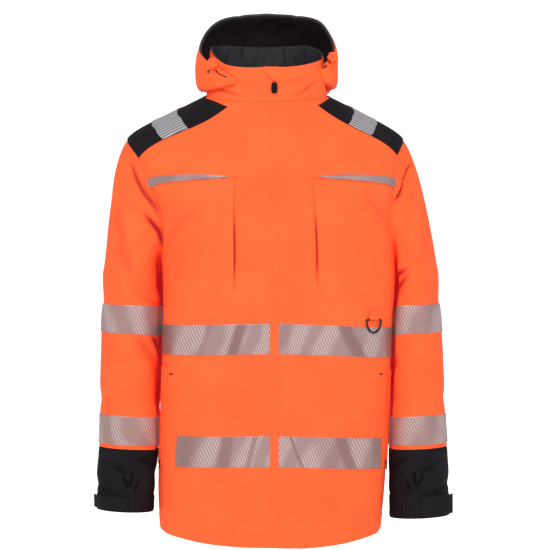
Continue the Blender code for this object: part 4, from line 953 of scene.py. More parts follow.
def striped(name):
    """Grey reflective cloth with dark stripes that run along the shoulder, finer than the tape's lines."""
    material, tree, shader = new_material(name, Roughness=0.4, Metallic=0.1)
    x, y, z = add(tree, "SeparateXYZ", Vector=add(tree, "TexCoord").outputs["Object"]).outputs
    level = step(tree, "ADD", z, step(tree, "MULTIPLY", step(tree, "ABSOLUTE", x), SHOULDER_SLOPE))
    run = step(tree, "ABSOLUTE", step(tree, "SUBTRACT", y, SEAM_Y))
    across = step(tree, "SUBTRACT", level, step(tree, "MULTIPLY", run, FALL_FROM_SEAM))
    wave = step(tree, "SINE", step(tree, "MULTIPLY", across, 2 * math.pi / STRIPE_PITCH))
    face = add(tree, "MixRGB", Fac=ramp(tree, wave, 0.1, 0.8), Color1=STRIPE_LIGHT, Color2=STRIPE_DARK)
    put(tree, shader.inputs["Base Color"], face.outputs["Color"])
    bumped(tree, shader, wave, 0.3, 0.0001)
    return material


SHOULDER_TAPE = striped("shoulder reflective cloth")
# How far down the front a patch reaches from the seam, at its neck end and at its arm end, as a
# share, how much its front and back tips are drawn up, and how far its inner edge goes to the neck.
PATCH_REACH = {"right": (1.0, 0.93), "left": (0.84, 0.86)}
TIPS_UP, BACK_TIPS_UP = {"right": (0.08, 0.0), "left": (0.0, 0.0)}, (0.62, 0.30)
TO_NECK = (-1, -0.6, 0, 0.6, 1), (0.44, 0.66, 0.9, 0.42, 0)


def patch_strips(side):
    """The grid of a patch, whose inner edge runs up to the neck seam, and that of its segment."""
    patch, segment = [], []
    for turn, (front, back) in enumerate(zip(PANELS["yoke_front_" + side], PANELS["yoke_back_" + side])):
        behind = back[YOKE_STEPS:-1][::-1]
        if turn == 0 and side == "right":
            behind = behind - 360.0
        values = np.concatenate([front[YOKE_STEPS:], behind])
        rows = np.arange(len(values), dtype=float)
        whole = values.copy()
        for column, reach in enumerate(np.linspace(*PATCH_REACH[side], values.shape[1])):
            at = np.where(rows < PATCH_STEPS, PATCH_STEPS - (PATCH_STEPS - rows) * reach, rows)
            whole[:, column] = np.interp(at, rows, values[:, column])
        part = whole[:, PATCH_START:].copy()
        to_neck = np.interp(np.linspace(-1, 1, len(part)), *TO_NECK)
        part[:, 0] += to_neck * (whole[:, 0] - part[:, 0])
        for end, beside, up in ((0, 1, TIPS_UP[side]), (-1, -2, BACK_TIPS_UP)):
            part[end, :2] += np.array(up) * (part[beside, :2] - part[end, :2])
        patch.append(part)
        segment.append(whole[:, INSERT_COLUMNS])
    return patch, segment


for side in ("right", "left"):
    patch_grid, segment_grid = patch_strips(side)
    laid_on("patch_" + side, patch_grid, ON_PANEL, PATCH_WALL, BLACK, "shoulder_patch_" + side,
            (0.20, 0.15), "last")
    laid_on("segment_" + side, segment_grid, ON_PATCH, TAPE_WALL, SHOULDER_TAPE, "tape_shoulder_" + side,
            (0.085, 0.12), down_rows=True)


# ---------------------------------------------------------------- sleeves
# One tube of shell cloth a side, sewn into the armhole and hanging in slanting creases, with
# two rings of the same tape. It ends in a seam over the black forearm.

CAP_LENGTH, BICEP_Z, SLEEVE_END_Z = 0.20, -0.31, -0.611
CAP_TOP_EASE = {"right": 0.048, "left": 0.020}
SLEEVE_TAPES = ((-0.413, -0.364), (-0.604, -0.555))
SLEEVE_RADIUS, ARM_FORM, FOREARM_RADIUS = 0.06, 0.058, 0.055
SLEEVE_TILT, BODY_CLEARANCE, CAP_EASE, CAP_SPREAD, UNDERARM_FLARE = 0.0025, 0.0095, 0.018, 0.16, 1.0
SLEEVE_SECTIONS = {}
SLEEVE_SECTIONS["right"] = table("z x y half_width half_depth", """
     -.31 .2385   .01  .053  .07
     -.37 .2385   .01  .054 .066
     -.44   .24  .006 .0545 .063
     -.51 .2415     0 .0545 .061
     -.57 .2415 -.008 .0535  .06
     -.62  .243 -.015  .054 .059
    -.665 .2475 -.021 .0525 .056
      -.7  .251 -.025  .048 .053
     -.74  .251 -.028  .047 .052
""")
SLEEVE_SECTIONS["left"] = table("z x y half_width half_depth", """
     -.31 .244  .012  .05  .07
     -.37 .246  .012 .051 .066
     -.44 .248  .008 .053 .063
     -.51 .251  .002 .053 .061
     -.57 .254 -.005 .051  .06
     -.62 .257 -.011 .051 .058
    -.665 .258 -.016 .052 .056
      -.7  .26  -.02  .05 .053
     -.74  .26 -.023  .05 .053
""")
# The sleeve's large creases: around is degrees from the outside of the arm, by way of its front.
SLEEVE_FOLDS = table("around z tilt half_length width depth", """
     60  -.23 -35  .07 .016  -.005
     95  -.27 -30  .06 .014 -.0045
     35  -.33 -50  .06 .016  -.003
    120 -.345 -65  .05 .013 -.0035
     70  -.47 -70 .055 .016  -.004
    110  -.51  65  .05 .015 -.0035
     30  -.53  80  .05 .014  -.003
    250   -.3  40  .07 .018  -.005
    290   -.4  60  .06 .018 -.0035
    260  -.48  75  .06 .016 -.0045
    230  -.53 -70  .05 .015 -.0035
""")
FOREARM_FOLDS = table("around z tilt half_length width depth", """
     70 -.645  75  .05 .012 -.0035
     20 -.668 -70 .045 .011  -.003
    120 -.672  60  .04 .011  -.003
    240  -.65 -75  .05 .012 -.0035
    290 -.672  70 .045 .011  -.003
""")
SLEEVE_CREASES = {
    "right": table("around z tilt half_length width depth lean", """
           69 -.163 37.1 .067  .006 -.0052 -2.5
          112 -.235 43.5 .046 .0065  -.008 -2.5
        118.5 -.235 36.6  .01  .004 -.0025    1
        152.5 -.306 24.7 .044  .013  -.006    1
        130.5 -.357 65.5 .023  .007 -.0034  1.5
           58 -.258 31.3 .096  .017 -.0038    1
           65 -.184 36.4 .061  .009   .003    1
          124 -.444 42.1  .04  .012 -.0034  1.5
          148 -.432   49 .024  .008  -.006    1
        152.5 -.503 16.6 .047  .014 -.0042    1
           70 -.318 28.9 .033  .012  .0022    1
           40 -.455   74 .034  .008 -.0014    1
           60  -.53  -78  .04  .009 -.0016    1
          225  -.24   38 .056  .009 -.0046    2
          262  -.35   52 .046  .009  -.003  1.5
          310  -.33   64 .036  .008  -.002    1
          236  -.45   70 .044  .009 -.0034 -1.6
          285  -.52   80  .04  .009 -.0024    1
    """),
    "left": table("around z tilt half_length width depth lean", """
         38.5 -.131 54.2 .031 .005  -.006  2.5
         73.5 -.165 37.1 .027 .005  -.006  2.5
        130.5 -.313 69.2 .039 .009 -.0062  1.5
        126.5 -.341   45 .043  .01  -.009 -1.8
         71.5 -.265 44.7 .058 .011  .0036    1
          146 -.477 39.6 .032 .012 -.0056    1
           70 -.405 16.1 .038 .014  .0018    1
         67.5 -.205 38.5 .047 .014 -.0026    1
           95 -.277 48.4 .036 .012  .0022    1
           98  -.45  -62 .036 .008  -.002  1.5
           52  -.52   80  .04 .008 -.0014    1
          230 -.235   34 .056 .009 -.0046    2
          256 -.345   56 .046 .009  -.003  1.5
          300  -.31   60 .036 .008  -.002    1
          240  -.46   66 .044 .009 -.0034 -1.6
          290  -.51   84  .04 .009 -.0024    1
    """),
}
FOREARM_CREASES = table("around z tilt half_length width depth", """
    101.5 -.661  -5.2 .017  .005 -.0032
     90.5 -.666  36.1 .015 .0045  -.003
      114 -.674 -29.1 .012  .005  -.003
       76 -.646  68.7 .017  .007 -.0024
       50 -.632    82 .034  .006 -.0018
       45  -.68    72  .03  .005 -.0022
      135 -.636    66  .03  .006 -.0022
      265 -.676   -80 .036  .006 -.0026
      310  -.64    74 .034  .006  -.002
""")
# The shade down the inner side of the arm, as a dark fold.
INSIDE_ARM_SHADE = (math.radians(172.0) * ARM_FORM, -0.44, 1.0, 0.0, 0.21, 0.036, 0.060, 0.85)
CAP_ROWS = (0.0, 0.07, 0.18, 0.32, 0.48, 0.65, 0.82, 1.0)
SLEEVE_ROWS = (-0.337, *SLEEVE_TAPES[0][::-1], -0.460, -0.508, *SLEEVE_TAPES[1][::-1], SLEEVE_END_Z)
HALF_STATIONS = np.concatenate([YOKE_STATIONS[::-1], LOWER_STATIONS[::-1][1:]])
STATIONS = np.concatenate([HALF_STATIONS, 360.0 - HALF_STATIONS[-2:0:-1]])


def down(z):
    """Distance down a sleeve at a height below the bicep."""
    return CAP_LENGTH + BICEP_Z - z


SLEEVE_DROPS = np.concatenate([CAP_LENGTH * np.array(CAP_ROWS), down(np.array(SLEEVE_ROWS))])


def armhole_point(sign, station):
    """A point of the armhole; stations over 180 are at the back."""
    station = np.mod(station, 360.0)
    forward, height = armhole(np.minimum(station, 360.0 - station))
    behind = armhole(np.minimum(station, 360.0 - station), back=True)[0]
    return sign * (90.0 + np.where(station > 180.0, behind, -forward)), height


def clear_of_body(points):
    """Points moved straight out from the body's middle until they clear it."""
    z = np.minimum(points[..., 2], -0.285)
    x = points[..., 0] - read(BODY, "shift", z)
    edge = body(np.degrees(np.arctan2(x, -points[..., 1])), z)
    edge_reach = np.hypot(edge[..., 0] - read(BODY, "shift", z), edge[..., 1])
    reach = np.hypot(x, points[..., 1])
    short = edge_reach + BODY_CLEARANCE - reach
    push = 0.5 * (short + np.sqrt(short**2 + 0.003**2)) / reach
    moved = points.copy()
    moved[..., 0] += push * x
    moved[..., 1] += push * points[..., 1]
    return moved


def sleeve_surface(sign, rows, top_ease, creases):
    """A sleeve: from the armhole it bends over a cap and then hangs through the rows' sections."""

    def ring(station, z):
        turn = np.radians(station)
        x = sign * (read(rows, "x", z) + read(rows, "half_width", z) * np.cos(turn))
        y = read(rows, "y", z) - read(rows, "half_depth", z) * np.sin(turn)
        points = np.stack(np.broadcast_arrays(x, y, z + SLEEVE_TILT * np.cos(turn)), -1)
        return clear_of_body(points)

    def surface(station, drop):
        station, drop = np.broadcast_arrays(station, drop)
        around, z = armhole_point(sign, station)
        start = body(around, z)
        out = lift(body, around, z, np.ones(around.shape)) - start
        ahead = body(*armhole_point(sign, station + 0.5)) - body(*armhole_point(sign, station - 0.5))
        ahead /= np.linalg.norm(ahead, axis=-1, keepdims=True)
        under = (0.5 - 0.5 * np.cos(np.radians(station)))[..., None] ** 2
        leave = np.cross(out, ahead) * sign + UNDERARM_FLARE * under * out
        bicep = ring(station, np.full(station.shape, BICEP_Z))
        span = np.linalg.norm(bicep - start, axis=-1, keepdims=True)
        t = (drop / CAP_LENGTH)[..., None]
        ease = CAP_EASE + top_ease * unit(np.cos(np.radians(station)))[..., None]
        spread = -sign * CAP_SPREAD * unit(np.cos(np.radians(station)))
        arrive = np.stack([spread, 0 * z, 0.9 + 0 * z], -1)
        cap = smooth(start, bicep, leave * (ease + 0.42 * span), -arrive * span, t)
        below = ring(station, BICEP_Z + CAP_LENGTH - np.maximum(drop, CAP_LENGTH))
        points = np.where(t < 1, cap, below)
        turn = np.radians(station)
        side = np.stack([sign * np.cos(turn), -np.sin(turn), np.zeros(turn.shape)], -1)
        side = out * (1 - unit(t)) + side * unit(t)
        height, sharp = (
            fold_height(upper, station, points[..., 2], ARM_FORM)
            + fold_height(lower, station, points[..., 2], FOREARM_RADIUS)
            for upper, lower in ((SLEEVE_FOLDS, FOREARM_FOLDS), (creases, FOREARM_CREASES))
        )
        height = height * unit(drop / 0.05) + sharp * unit(drop / 0.014)
        height = height * unit((points[..., 2] + 0.692) / 0.015)
        return points + side * height[..., None]

    return surface


def ring_grid(surface, drops, cell=CELL):
    """A fine grid round a tube through rows at their distances down it, without its closing column."""
    coarse = np.meshgrid(np.append(STATIONS, STATIONS[0] + 360.0), drops)
    return [values[:, :-1] for values in finer(surface, coarse, cell)]


def tube_layers(surface, sign, grid, heights):
    """Both faces of a tube, which leave the armhole square to the body."""
    station, drop = grid
    point = surface(station, drop)
    normal = (lift(surface, station, drop, np.ones(drop.shape)) - point) * sign
    at_hole = armhole_point(sign, station)
    square = lift(body, *at_hole, np.ones(drop.shape)) - body(*at_hole)
    share = unit(drop / (0.07 * CAP_LENGTH))[..., None]
    normal = normal * share + square * (1 - share)
    normal /= np.linalg.norm(normal, axis=-1, keepdims=True)
    return [point + normal * np.asarray(height)[..., None] for height in heights]


SIDES = (("right", -1), ("left", 1))
SLEEVES = {}
for side, sign in SIDES:
    surface = sleeve_surface(sign, SLEEVE_SECTIONS[side], CAP_TOP_EASE[side], SLEEVE_CREASES[side])
    SLEEVES[side] = surface
    grid = ring_grid(surface, SLEEVE_DROPS)
    base = surface(*grid)
    front = unit(np.sin(np.radians(grid[0] - 12.0)))
    tuck = near(from_edges(base, "bottom"), ARMHOLE_TUCK_WIDTH)
    dip = seam_dip(base, "bottom top") - ARMHOLE_TUCK * front * tuck
    layers = tube_layers(surface, sign, grid, (dip, dip + WALL))
    layers = [drawn_in(drawn_in(points, "bottom", 0.0003), "top", 0.00015) for points in layers]
    # Painted shade in the sleeve's deeper creases and down the inner side of the arm.
    folds = [*dark_folds(SLEEVE_CREASES[side], ARM_FORM), INSIDE_ARM_SHADE]
    sleeve = shell("cloth_sleeve_" + side, *layers, np.radians(grid[0]) * SLEEVE_RADIUS, -grid[1],
                   shell_cloth("shell cloth sleeve " + side, folds), LINING, ring=True,
                   form=(np.radians(grid[0]) * ARM_FORM, base[..., 2]))
    belongs(sleeve, "sleeve_" + side, (0.52, 0.60),
            base, ring=True)
    for name, span in zip(("upper", "lower"), SLEEVE_TAPES):
        grid = ring_grid(surface, down(np.array(span[::-1])), 0.0045)
        base = surface(*grid)
        top = ON_PANEL + TAPE_WALL - rounded_over(base, TAPE_WALL, "bottom top")
        layers = [lift(surface, *grid, sign * height) for height in (np.full(base.shape[:2], ON_PANEL), top)]
        band = shell(f"band_{name}_{side}", *layers, -sign * np.radians(grid[0]) * SLEEVE_RADIUS, -grid[1],
                     TAPE if side == "left" else TAPE_OTHER, ring=True)
        belongs(band, f"tape_sleeve_{name}_{side}", (0.40, 0.050),
                base, ring=True)


# ---------------------------------------------------------------- forearms and cuffs
# A tube of tough black cloth below each sleeve, wrinkled where it is pushed up, and a cuff
# drawn up by elastic on the inner side, with a stiff closing tab on the outer side.

FOREARM_ROWS = (SLEEVE_END_Z, -0.631, -0.651, -0.671, -0.690)
CUFF_TOP_Z, CUFF_END_Z = -0.690, {"right": -0.718, "left": -0.729}
CUFF_STATIONS = np.arange(0.0, 360.0, 360.0 / 264)
ELASTIC_RIBS, RIB_HEIGHT = 44, 0.0016
TAB_STATIONS = {"right": (100.0, 75.0, 52.0, 30.0, 8.0), "left": (92.0, 70.0, 50.0, 30.0, 12.0)}
TAB_LIFT = {"right": (0.0, 0.0, 0.0, 0.0, 0.001), "left": (0.0, 0.0, 0.0, 0.0005, 0.003)}
TAB_INSET, TAB_WALL = 0.003, 0.0024
# The forearm's black cloth has painted shade in its deeper creases.
FOREARM_CLOTH = woven(
    "black tough cloth of the forearm", TOUGH_LIGHT, TOUGH_DARK, 0.8, 330.0, 0.0002, 0.0008, gloss=0.12,
    deep=(0.0010, 0.0006, 0.0009), folds=dark_folds(FOREARM_CREASES, FOREARM_RADIUS, 0.0010, 0.0028))
CUFF_RADIUS, TAB_OFF_CUFF = 0.052, 0.0014


def tab_corners(side):
    """The grid of a closing tab, which is set in a little from both edges of its cuff."""
    return np.meshgrid(TAB_STATIONS[side], (down(CUFF_TOP_Z) + TAB_INSET, down(CUFF_END_Z[side]) - TAB_INSET))


def tab_height(side, station):
    """How far off the cuff a closing tab lies, the more so towards its free end."""
    return ON_PANEL + TAB_OFF_CUFF + np.interp(-station, -np.array(TAB_STATIONS[side]), TAB_LIFT[side])


for side, sign in SIDES:
    surface = SLEEVES[side]
    grid = ring_grid(surface, down(np.array(FOREARM_ROWS)), 0.0045)
    base = surface(*grid)
    dip = seam_dip(base, "bottom top")
    layers = [lift(surface, *grid, sign * (dip + height)) for height in (0.0, WALL)]
    layers = [drawn_in(points, "bottom top", 0.00015) for points in layers]
    round_arm = np.radians(grid[0]) * FOREARM_RADIUS
    forearm = shell("cloth_forearm_" + side, *layers, round_arm, -grid[1], FOREARM_CLOTH, LINING, ring=True,
                    form=(round_arm, base[..., 2]))
    belongs(forearm, "forearm_" + side, (0.37, 0.085), base,
            ring=True)

    station, drop = np.meshgrid(CUFF_STATIONS, np.linspace(down(CUFF_TOP_Z), down(CUFF_END_Z[side]), 15))
    base = surface(station, drop)
    elastic = unit((np.cos(np.radians(station - 200.0)) + 0.25) / 0.3)
    wander = 0.35 * np.sin(drop * 160.0 + station * 0.11) + 0.25 * np.sin(station * 0.37)
    ribs = 0.5 - 0.5 * np.cos(np.radians(station * ELASTIC_RIBS) + wander * 3)
    share = (drop - drop[0]) / (drop[-1] - drop[0])
    ribs = RIB_HEIGHT * elastic * ribs * np.sin(math.pi * unit(share * 0.9 + 0.1)) ** 0.4
    dip = seam_dip(base, "bottom")
    fold = 0.0005 * (from_edges(base, "top") < 0.011)
    layers = [
        drawn_in(lift(surface, station, drop, sign * height), "bottom", 0.00015)
        for height in (dip, WALL + ribs + dip + fold)
    ]
    cuff = shell("cloth_cuff_" + side, *layers, np.radians(station) * CUFF_RADIUS, -drop, BLACK, ring=True)
    length = abs(CUFF_END_Z[side] - CUFF_TOP_Z)
    belongs(cuff, "cuff_" + side, (0.40, length))

    grid = finer(surface, tab_corners(side), 0.0030)
    lifted = tab_height(side, grid[0])
    roll = rounded_over(surface(*grid), TAB_WALL, over=0.002)
    layers = [lift(surface, *grid, sign * height) for height in (lifted, lifted + TAB_WALL - roll)]
    tab = shell("closing_tab_" + side, *layers, np.radians(grid[0]) * CUFF_RADIUS, -grid[1], BLACK)
    flat = (0.09, length - 2 * TAB_INSET)
    belongs(tab, "cuff_tab_" + side, flat)


# ---------------------------------------------------------------- collar and chin flap
# A standing collar of shell cloth with a dark brushed lining, in a right and a left half, and a
# flap of shell cloth that folds over the top of the zip.

COLLAR_INSET, COLLAR_BULGE, NECK_SHIFT = 0.0008, 0.004, -0.006
LINING_WALL, LINING_FROM_ZIP, LINING_OFF = 0.0012, 0.0075, 0.0006
COLLAR_RADIUS, COLLAR_HEIGHT, COLLAR_SHARES = 0.085, 0.06, (0.0, 0.3, 0.65, 1.0)
COLLAR_TOP = table("around radius z", """
    -180  .076  .093
    -145  .084 .0935
    -115  .099  .092
     -98  .099  .087
     -80 .0945  .073
     -55 .0865 .0525
     -30   .08 .0455
       0  .079  .045
      30   .08 .0465
      55  .088  .053
      78  .097  .064
     100  .098  .079
     118  .088  .091
     145  .079  .094
     180  .076  .093
""")
# Creases of the collar: z is 0.06 m for its whole height.
COLLAR_CREASES = table("around z tilt half_length width depth lean", """
     -24  .03  80 .046  .009 -.0012    1
      30 .034  96 .044  .009 -.0013    1
       3 .025   2 .014 .0022 -.0008    1
    12.5 .023  -2 .014 .0022 -.0008    1
     -46 .015  74 .026 .0045 -.0022  1.6
      46 .018 -60 .026 .0045  -.002  1.6
     -80 .024  12  .03  .007 -.0016    1
      84 .025 -10  .03  .007 -.0016    1
     128  .03  24  .04  .008 -.0034  1.8
     170 .036  -6  .03 .0075 -.0026  1.5
    -160  .03  10 .034  .008  -.003 -1.8
    -138 .034 -14 .034 .0075 -.0028  1.5
""")
CHIN_FLAP = table("share edge", """
     .48   12
     .58  9.8
     .68    3
     .86 -2.7
    .985 -3.8
""")
CHIN_SEAM, CHIN_LIFT = 25.0, 0.0016
# Painted shade of folds on the collar's lining, whose own surface is not folded by this table.
LINING_FOLD_SHADE = table("around z tilt half_length width depth lean", """
    -148 .054   8 .012 .0035  -.008 -1.5
    -152  .03  30  .02  .019  -.006 -1.6
     156 .044  -4 .022 .0028  -.008    1
     166 .029  64 .034  .015 -.0056  1.4
     136 .033 -38  .02  .012 -.0048  1.4
    -176  .04  34 .026  .007  -.004 -1.5
    -126  .04  26  .03  .006 -.0044  1.5
""")
# The collar's cloth has painted shade in its deeper creases.
COLLAR_CLOTH = shell_cloth("shell cloth collar", dark_folds(COLLAR_CREASES, COLLAR_RADIUS, 0.0009, 0.0034))
COLLAR_LINING = woven(
    "dark brushed lining", (0.044, 0.040, 0.048), (0.022, 0.021, 0.026), 0.7, 520.0, 0.00015, 0.0010,
    gloss=0.3, folds=dark_folds(LINING_FOLD_SHADE, COLLAR_RADIUS), deep=(0.006, 0.006, 0.007))


def collar(around, share):
    """The collar's outer face, from the neck seam (share 0) to its top edge (share 1)."""
    around, share = np.broadcast_arrays(around, share)
    turn = np.radians(around)
    facing = (around + 180.0) % 360.0 - 180.0
    out = np.stack([np.sin(turn), -np.cos(turn), np.zeros(turn.shape)], -1)
    base = body(around, neckline(around)) - out * COLLAR_INSET
    top = out * read(COLLAR_TOP, "radius", facing, "around")[..., None]
    top[..., 0] += NECK_SHIFT
    top[..., 2] = read(COLLAR_TOP, "z", facing, "around")
    crease = fold_height(COLLAR_CREASES, around, share * COLLAR_HEIGHT, COLLAR_RADIUS)
    share = share[..., None]
    bulge = COLLAR_BULGE * np.sin(math.pi * share) + crease[..., None]
    return base * (1 - share) + top * share + out * bulge


def collar_half(side):
    """The grid of one half of the collar, along the neckline from the zip to the centre back."""
    front = PANELS["yoke_front_" + side][0][PLACKET_STEPS:, 0]
    back = PANELS["yoke_back_" + side][0][PLACKET_STEPS:-1, 0][::-1]
    return np.meshgrid(np.concatenate([front, back - 360.0 if side == "right" else back]), COLLAR_SHARES)


for side in ("right", "left"):
    grid = finer(collar, collar_half(side), 0.0042)
    base = collar(*grid)
    dip = seam_dip(base, "bottom", 0.15)
    roll = rounded_over(base, WALL, "top", 0.0020)
    flush = (WALL + COLLAR_INSET) * near(from_edges(base, "bottom"), 0.010)
    outer = drawn_in(lift(collar, *grid, dip - roll + flush), "bottom first last", 0.00015)
    inner = drawn_in(lift(collar, *grid, dip - WALL), "bottom first last", 0.00015)
    cut = np.radians(grid[0]) * COLLAR_RADIUS, grid[1] * COLLAR_HEIGHT
    form = np.radians(grid[0] % 360.0 if side == "left" else grid[0]) * COLLAR_RADIUS, cut[1]
    half = shell("collar_cloth_" + side, inner, outer, *cut, COLLAR_CLOTH, form=form)
    belongs(half, "collar_" + side, (0.27, 0.09),
            base)
    around = (grid[0] + 180.0) % 360.0 - 180.0
    over = unit((grid[1] - 0.93) / 0.07) * unit((np.abs(around) - 52.0) / 22.0)
    behind = -WALL - LINING_OFF + over * (WALL + LINING_OFF)
    within = -WALL - LINING_OFF - LINING_WALL + 0 * behind
    layers = [lift(collar, *grid, height) for height in (within, behind)]
    for points in layers:
        points[..., 2] += 0.0022 * over
    layers = [drawn_in(drawn_in(points, "bottom", 0.00015), "first", LINING_FROM_ZIP) for points in layers]
    faced = shell("collar_facing_" + side, *layers, *cut, COLLAR_LINING, form=form)
    belongs(faced, "collar_lining_" + side, (0.27, 0.09), base)

share = np.tile(CHIN_FLAP["share"][:, None], (1, 4))
around = CHIN_FLAP["edge"][:, None] + (CHIN_SEAM - CHIN_FLAP["edge"][:, None]) * np.linspace(0, 1, 4)
grid = finer(collar, (around, share), 0.0025)
base = collar(*grid)
free = unit(from_edges(base, "last") / 0.017) ** 1.5
free = free * unit(from_edges(base, "bottom") / 0.004) ** 0.7
lifted = -0.0006 + (CHIN_LIFT + 0.0009) * free
roll = rounded_over(base, WALL, over=0.0018)
flap = shell("chin_flap_cloth", lift(collar, *grid, lifted - 0.0002),
             lift(collar, *grid, lifted + 0.0003 + (WALL - roll) * free),
             np.radians(grid[0]) * COLLAR_RADIUS, grid[1] * COLLAR_HEIGHT, ORANGE)
belongs(flap, "chin_flap", (0.042, 0.034), base)


# ---------------------------------------------------------------- hood
# Two side panels and a centre panel of shell cloth over a smooth black lining, hanging open
# behind the collar, with a channel for a drawcord along the rim.

HOOD_NECK = table("rib right_around left_around share", """
    0  43  72 .42
    1  62  83 .22
    2  84  97 .12
    3 108 114 .16
    4 133 136 .18
    5 156 157  .2
    6 180 180  .2
""")
HOOD_SWING = table("rib x y z rim_x rim_y rim_z", """
    0  .034 .051 .009  .022 .036 .014
    1 .0115  .03  .01 .0115  .03  .01
    2  .002 .013 .005  .002 .013 .005
    3  .002 .005 .002  .002 .005 .002
    4  .006    0 .001  .006    0 .001
    5  .005    0    0  .005    0    0
    6     0    0    0     0    0    0
""")
HOOD_RIBS = table("rib low_x low_y low_z mid_x mid_y mid_z high_x high_y high_z rim_x rim_y rim_z", """
    0 .063 -.089  .018 .068 -.084 .026  .074 -.077 .034 .079  -.07 .042
    1 .099  -.06  .007   .1 -.059 .023 .0985 -.057 .039 .095 -.053 .053
    2 .118 -.016  .012 .121 -.014 .036   .12 -.016 .058 .115  -.02 .078
    3 .116   .05   .02 .123  .056 .055   .12  .046  .09 .107   .02 .112
    4 .096   .11   .01 .108  .128  .06  .105    .1 .112 .084  .042 .137
    5 .052  .145 -.006  .06  .172 .055  .058  .135 .128 .048  .058 .148
    6    0   .15 -.012    0  .182 .052     0  .142 .132    0  .062 .152
""")
HOOD_OFF_COLLAR, FRONT_EDGE_RIBS, LINING_FROM_RIB, SHELL_TOP = 0.0030, 0.8, 0.30, 0.985
HOOD_ROWS = np.array([0.0, 0.12, 0.25, 0.38, 0.5, 0.62, 0.75, 0.88, 1.0])
SIDE_RIBS, CENTRE_RIBS = np.linspace(0, 5, 11), np.linspace(5, 7, 5)
# Creases of the hood: around is 30 degrees a rib, z is a twentieth of the climb. A positive
# depth is a dent from outside.
HOOD_CREASES = table("around z tilt half_length width depth", """
     22 .008  62  .03 .005  .003
     40 .006  84 .034 .006  .003
     22  .04  40 .018 .004 .0022
     30 .044  75 .018 .004  .002
     16 .034   5 .016 .004  .002
     60 .025  30 .036 .008 .0024
     95 .028  70  .04 .009 .0034
    128 .018  20 .036  .01  .004
    170  .03  86  .05 .011  .004
    205 .014 -30  .04  .01  .004
    236  .03 -64 .042 .009 .0032
    272 .018 -75 .036 .008  .003
    306 .023 -40  .03 .007 .0026
    326 .006 -70  .03 .005  .003
    312 .044 -60 .018 .004 .0022
    330  .04 -20 .018 .004  .002
    344  .03  -8 .024 .005 .0022
""")
HOOD_LINING = woven(
    "smooth black lining", (0.056, 0.052, 0.061), (0.034, 0.032, 0.038), 0.62, 700.0, 0.00008, 0.0014,
    gloss=0.12)


def hood(rib, climb):
    """The hood's shell: ribs 0 to 12 run round it from right to left, climb 0 to 1 from neck to rim."""
    rib, climb = np.broadcast_arrays(rib, climb)
    folded = 6.0 - np.abs(rib - 6.0)
    sign = np.where(rib < 6.0, -1.0, 1.0)
    left = rib > 6.0
    right_around = read(HOOD_NECK, "right_around", folded, "rib")
    around = np.where(left, read(HOOD_NECK, "left_around", folded, "rib"), right_around)
    neck = collar(around, read(HOOD_NECK, "share", folded, "rib"))
    turn = np.radians(around)
    swing, rim_swing = (
        np.stack([read(HOOD_SWING, level + axis, folded, "rib") for axis in "xyz"], -1) * left[..., None]
        for level in ("", "rim_")
    )
    neck[..., 0] += HOOD_OFF_COLLAR * np.sin(turn) - NECK_SHIFT
    neck[..., 1] -= HOOD_OFF_COLLAR * np.cos(turn)
    knots = [neck]
    for i, level in enumerate(("low", "mid", "high", "rim")):
        point = np.stack([read(HOOD_RIBS, f"{level}_{axis}", folded, "rib") for axis in "xyz"], -1)
        knots.append(point + swing + (rim_swing - swing) * i / 3)
    knots = np.stack(knots)
    slopes = np.gradient(knots, axis=0)
    place = np.clip(climb, -0.01, 1.01) * 4
    i = np.clip(np.floor(place), 0, 3).astype(int)
    t = (place - i)[..., None]
    pick = np.indices(i.shape)
    ends = [levels[(k, *pick)] for levels in (knots, slopes) for k in (i, i + 1)]
    points = smooth(*ends, t)
    points[..., 0] = sign * points[..., 0] + NECK_SHIFT
    turn = np.arctan2(points[..., 0] - NECK_SHIFT, -points[..., 1])
    beside = collar(np.degrees(turn), unit((points[..., 2] + 0.010) / 0.058))
    reach, beside_reach = (np.hypot(place[..., 0] - NECK_SHIFT, place[..., 1]) for place in (points, beside))
    close = unit(1 - folded / FRONT_EDGE_RIBS) ** 2 * unit((0.92 - climb) / 0.25)
    pull = close * (reach - beside_reach - 0.0022)
    points[..., 0] -= pull * np.sin(turn)
    points[..., 1] += pull * np.cos(turn)
    return points


def hood_dent(rib, climb, seam_width):
    """How far the hood's creases and its two long seams sink towards the wearer."""
    fade = unit((1 - climb) / 0.12) * unit(climb / 0.1)
    from_seam = np.minimum(np.abs(rib - 5.0), np.abs(rib - 7.0)) * 0.055
    seam = SEAM_DIP * near(from_seam, seam_width)
    return fold_height(HOOD_CREASES, rib * 30.0, climb * 0.05, 0.10) * fade + seam


HOOD_PANELS = {
    "side_right": (SIDE_RIBS, "last", (0.27, 0.25)),
    "centre": (CENTRE_RIBS, "first last", (0.22, 0.30)),
    "side_left": (12 - SIDE_RIBS[::-1], "first", (0.27, 0.25)),
}


def hood_panel(name):
    """The grid of one panel of the hood."""
    return np.meshgrid(HOOD_PANELS[name][0], np.append(HOOD_ROWS[:-1], SHELL_TOP))


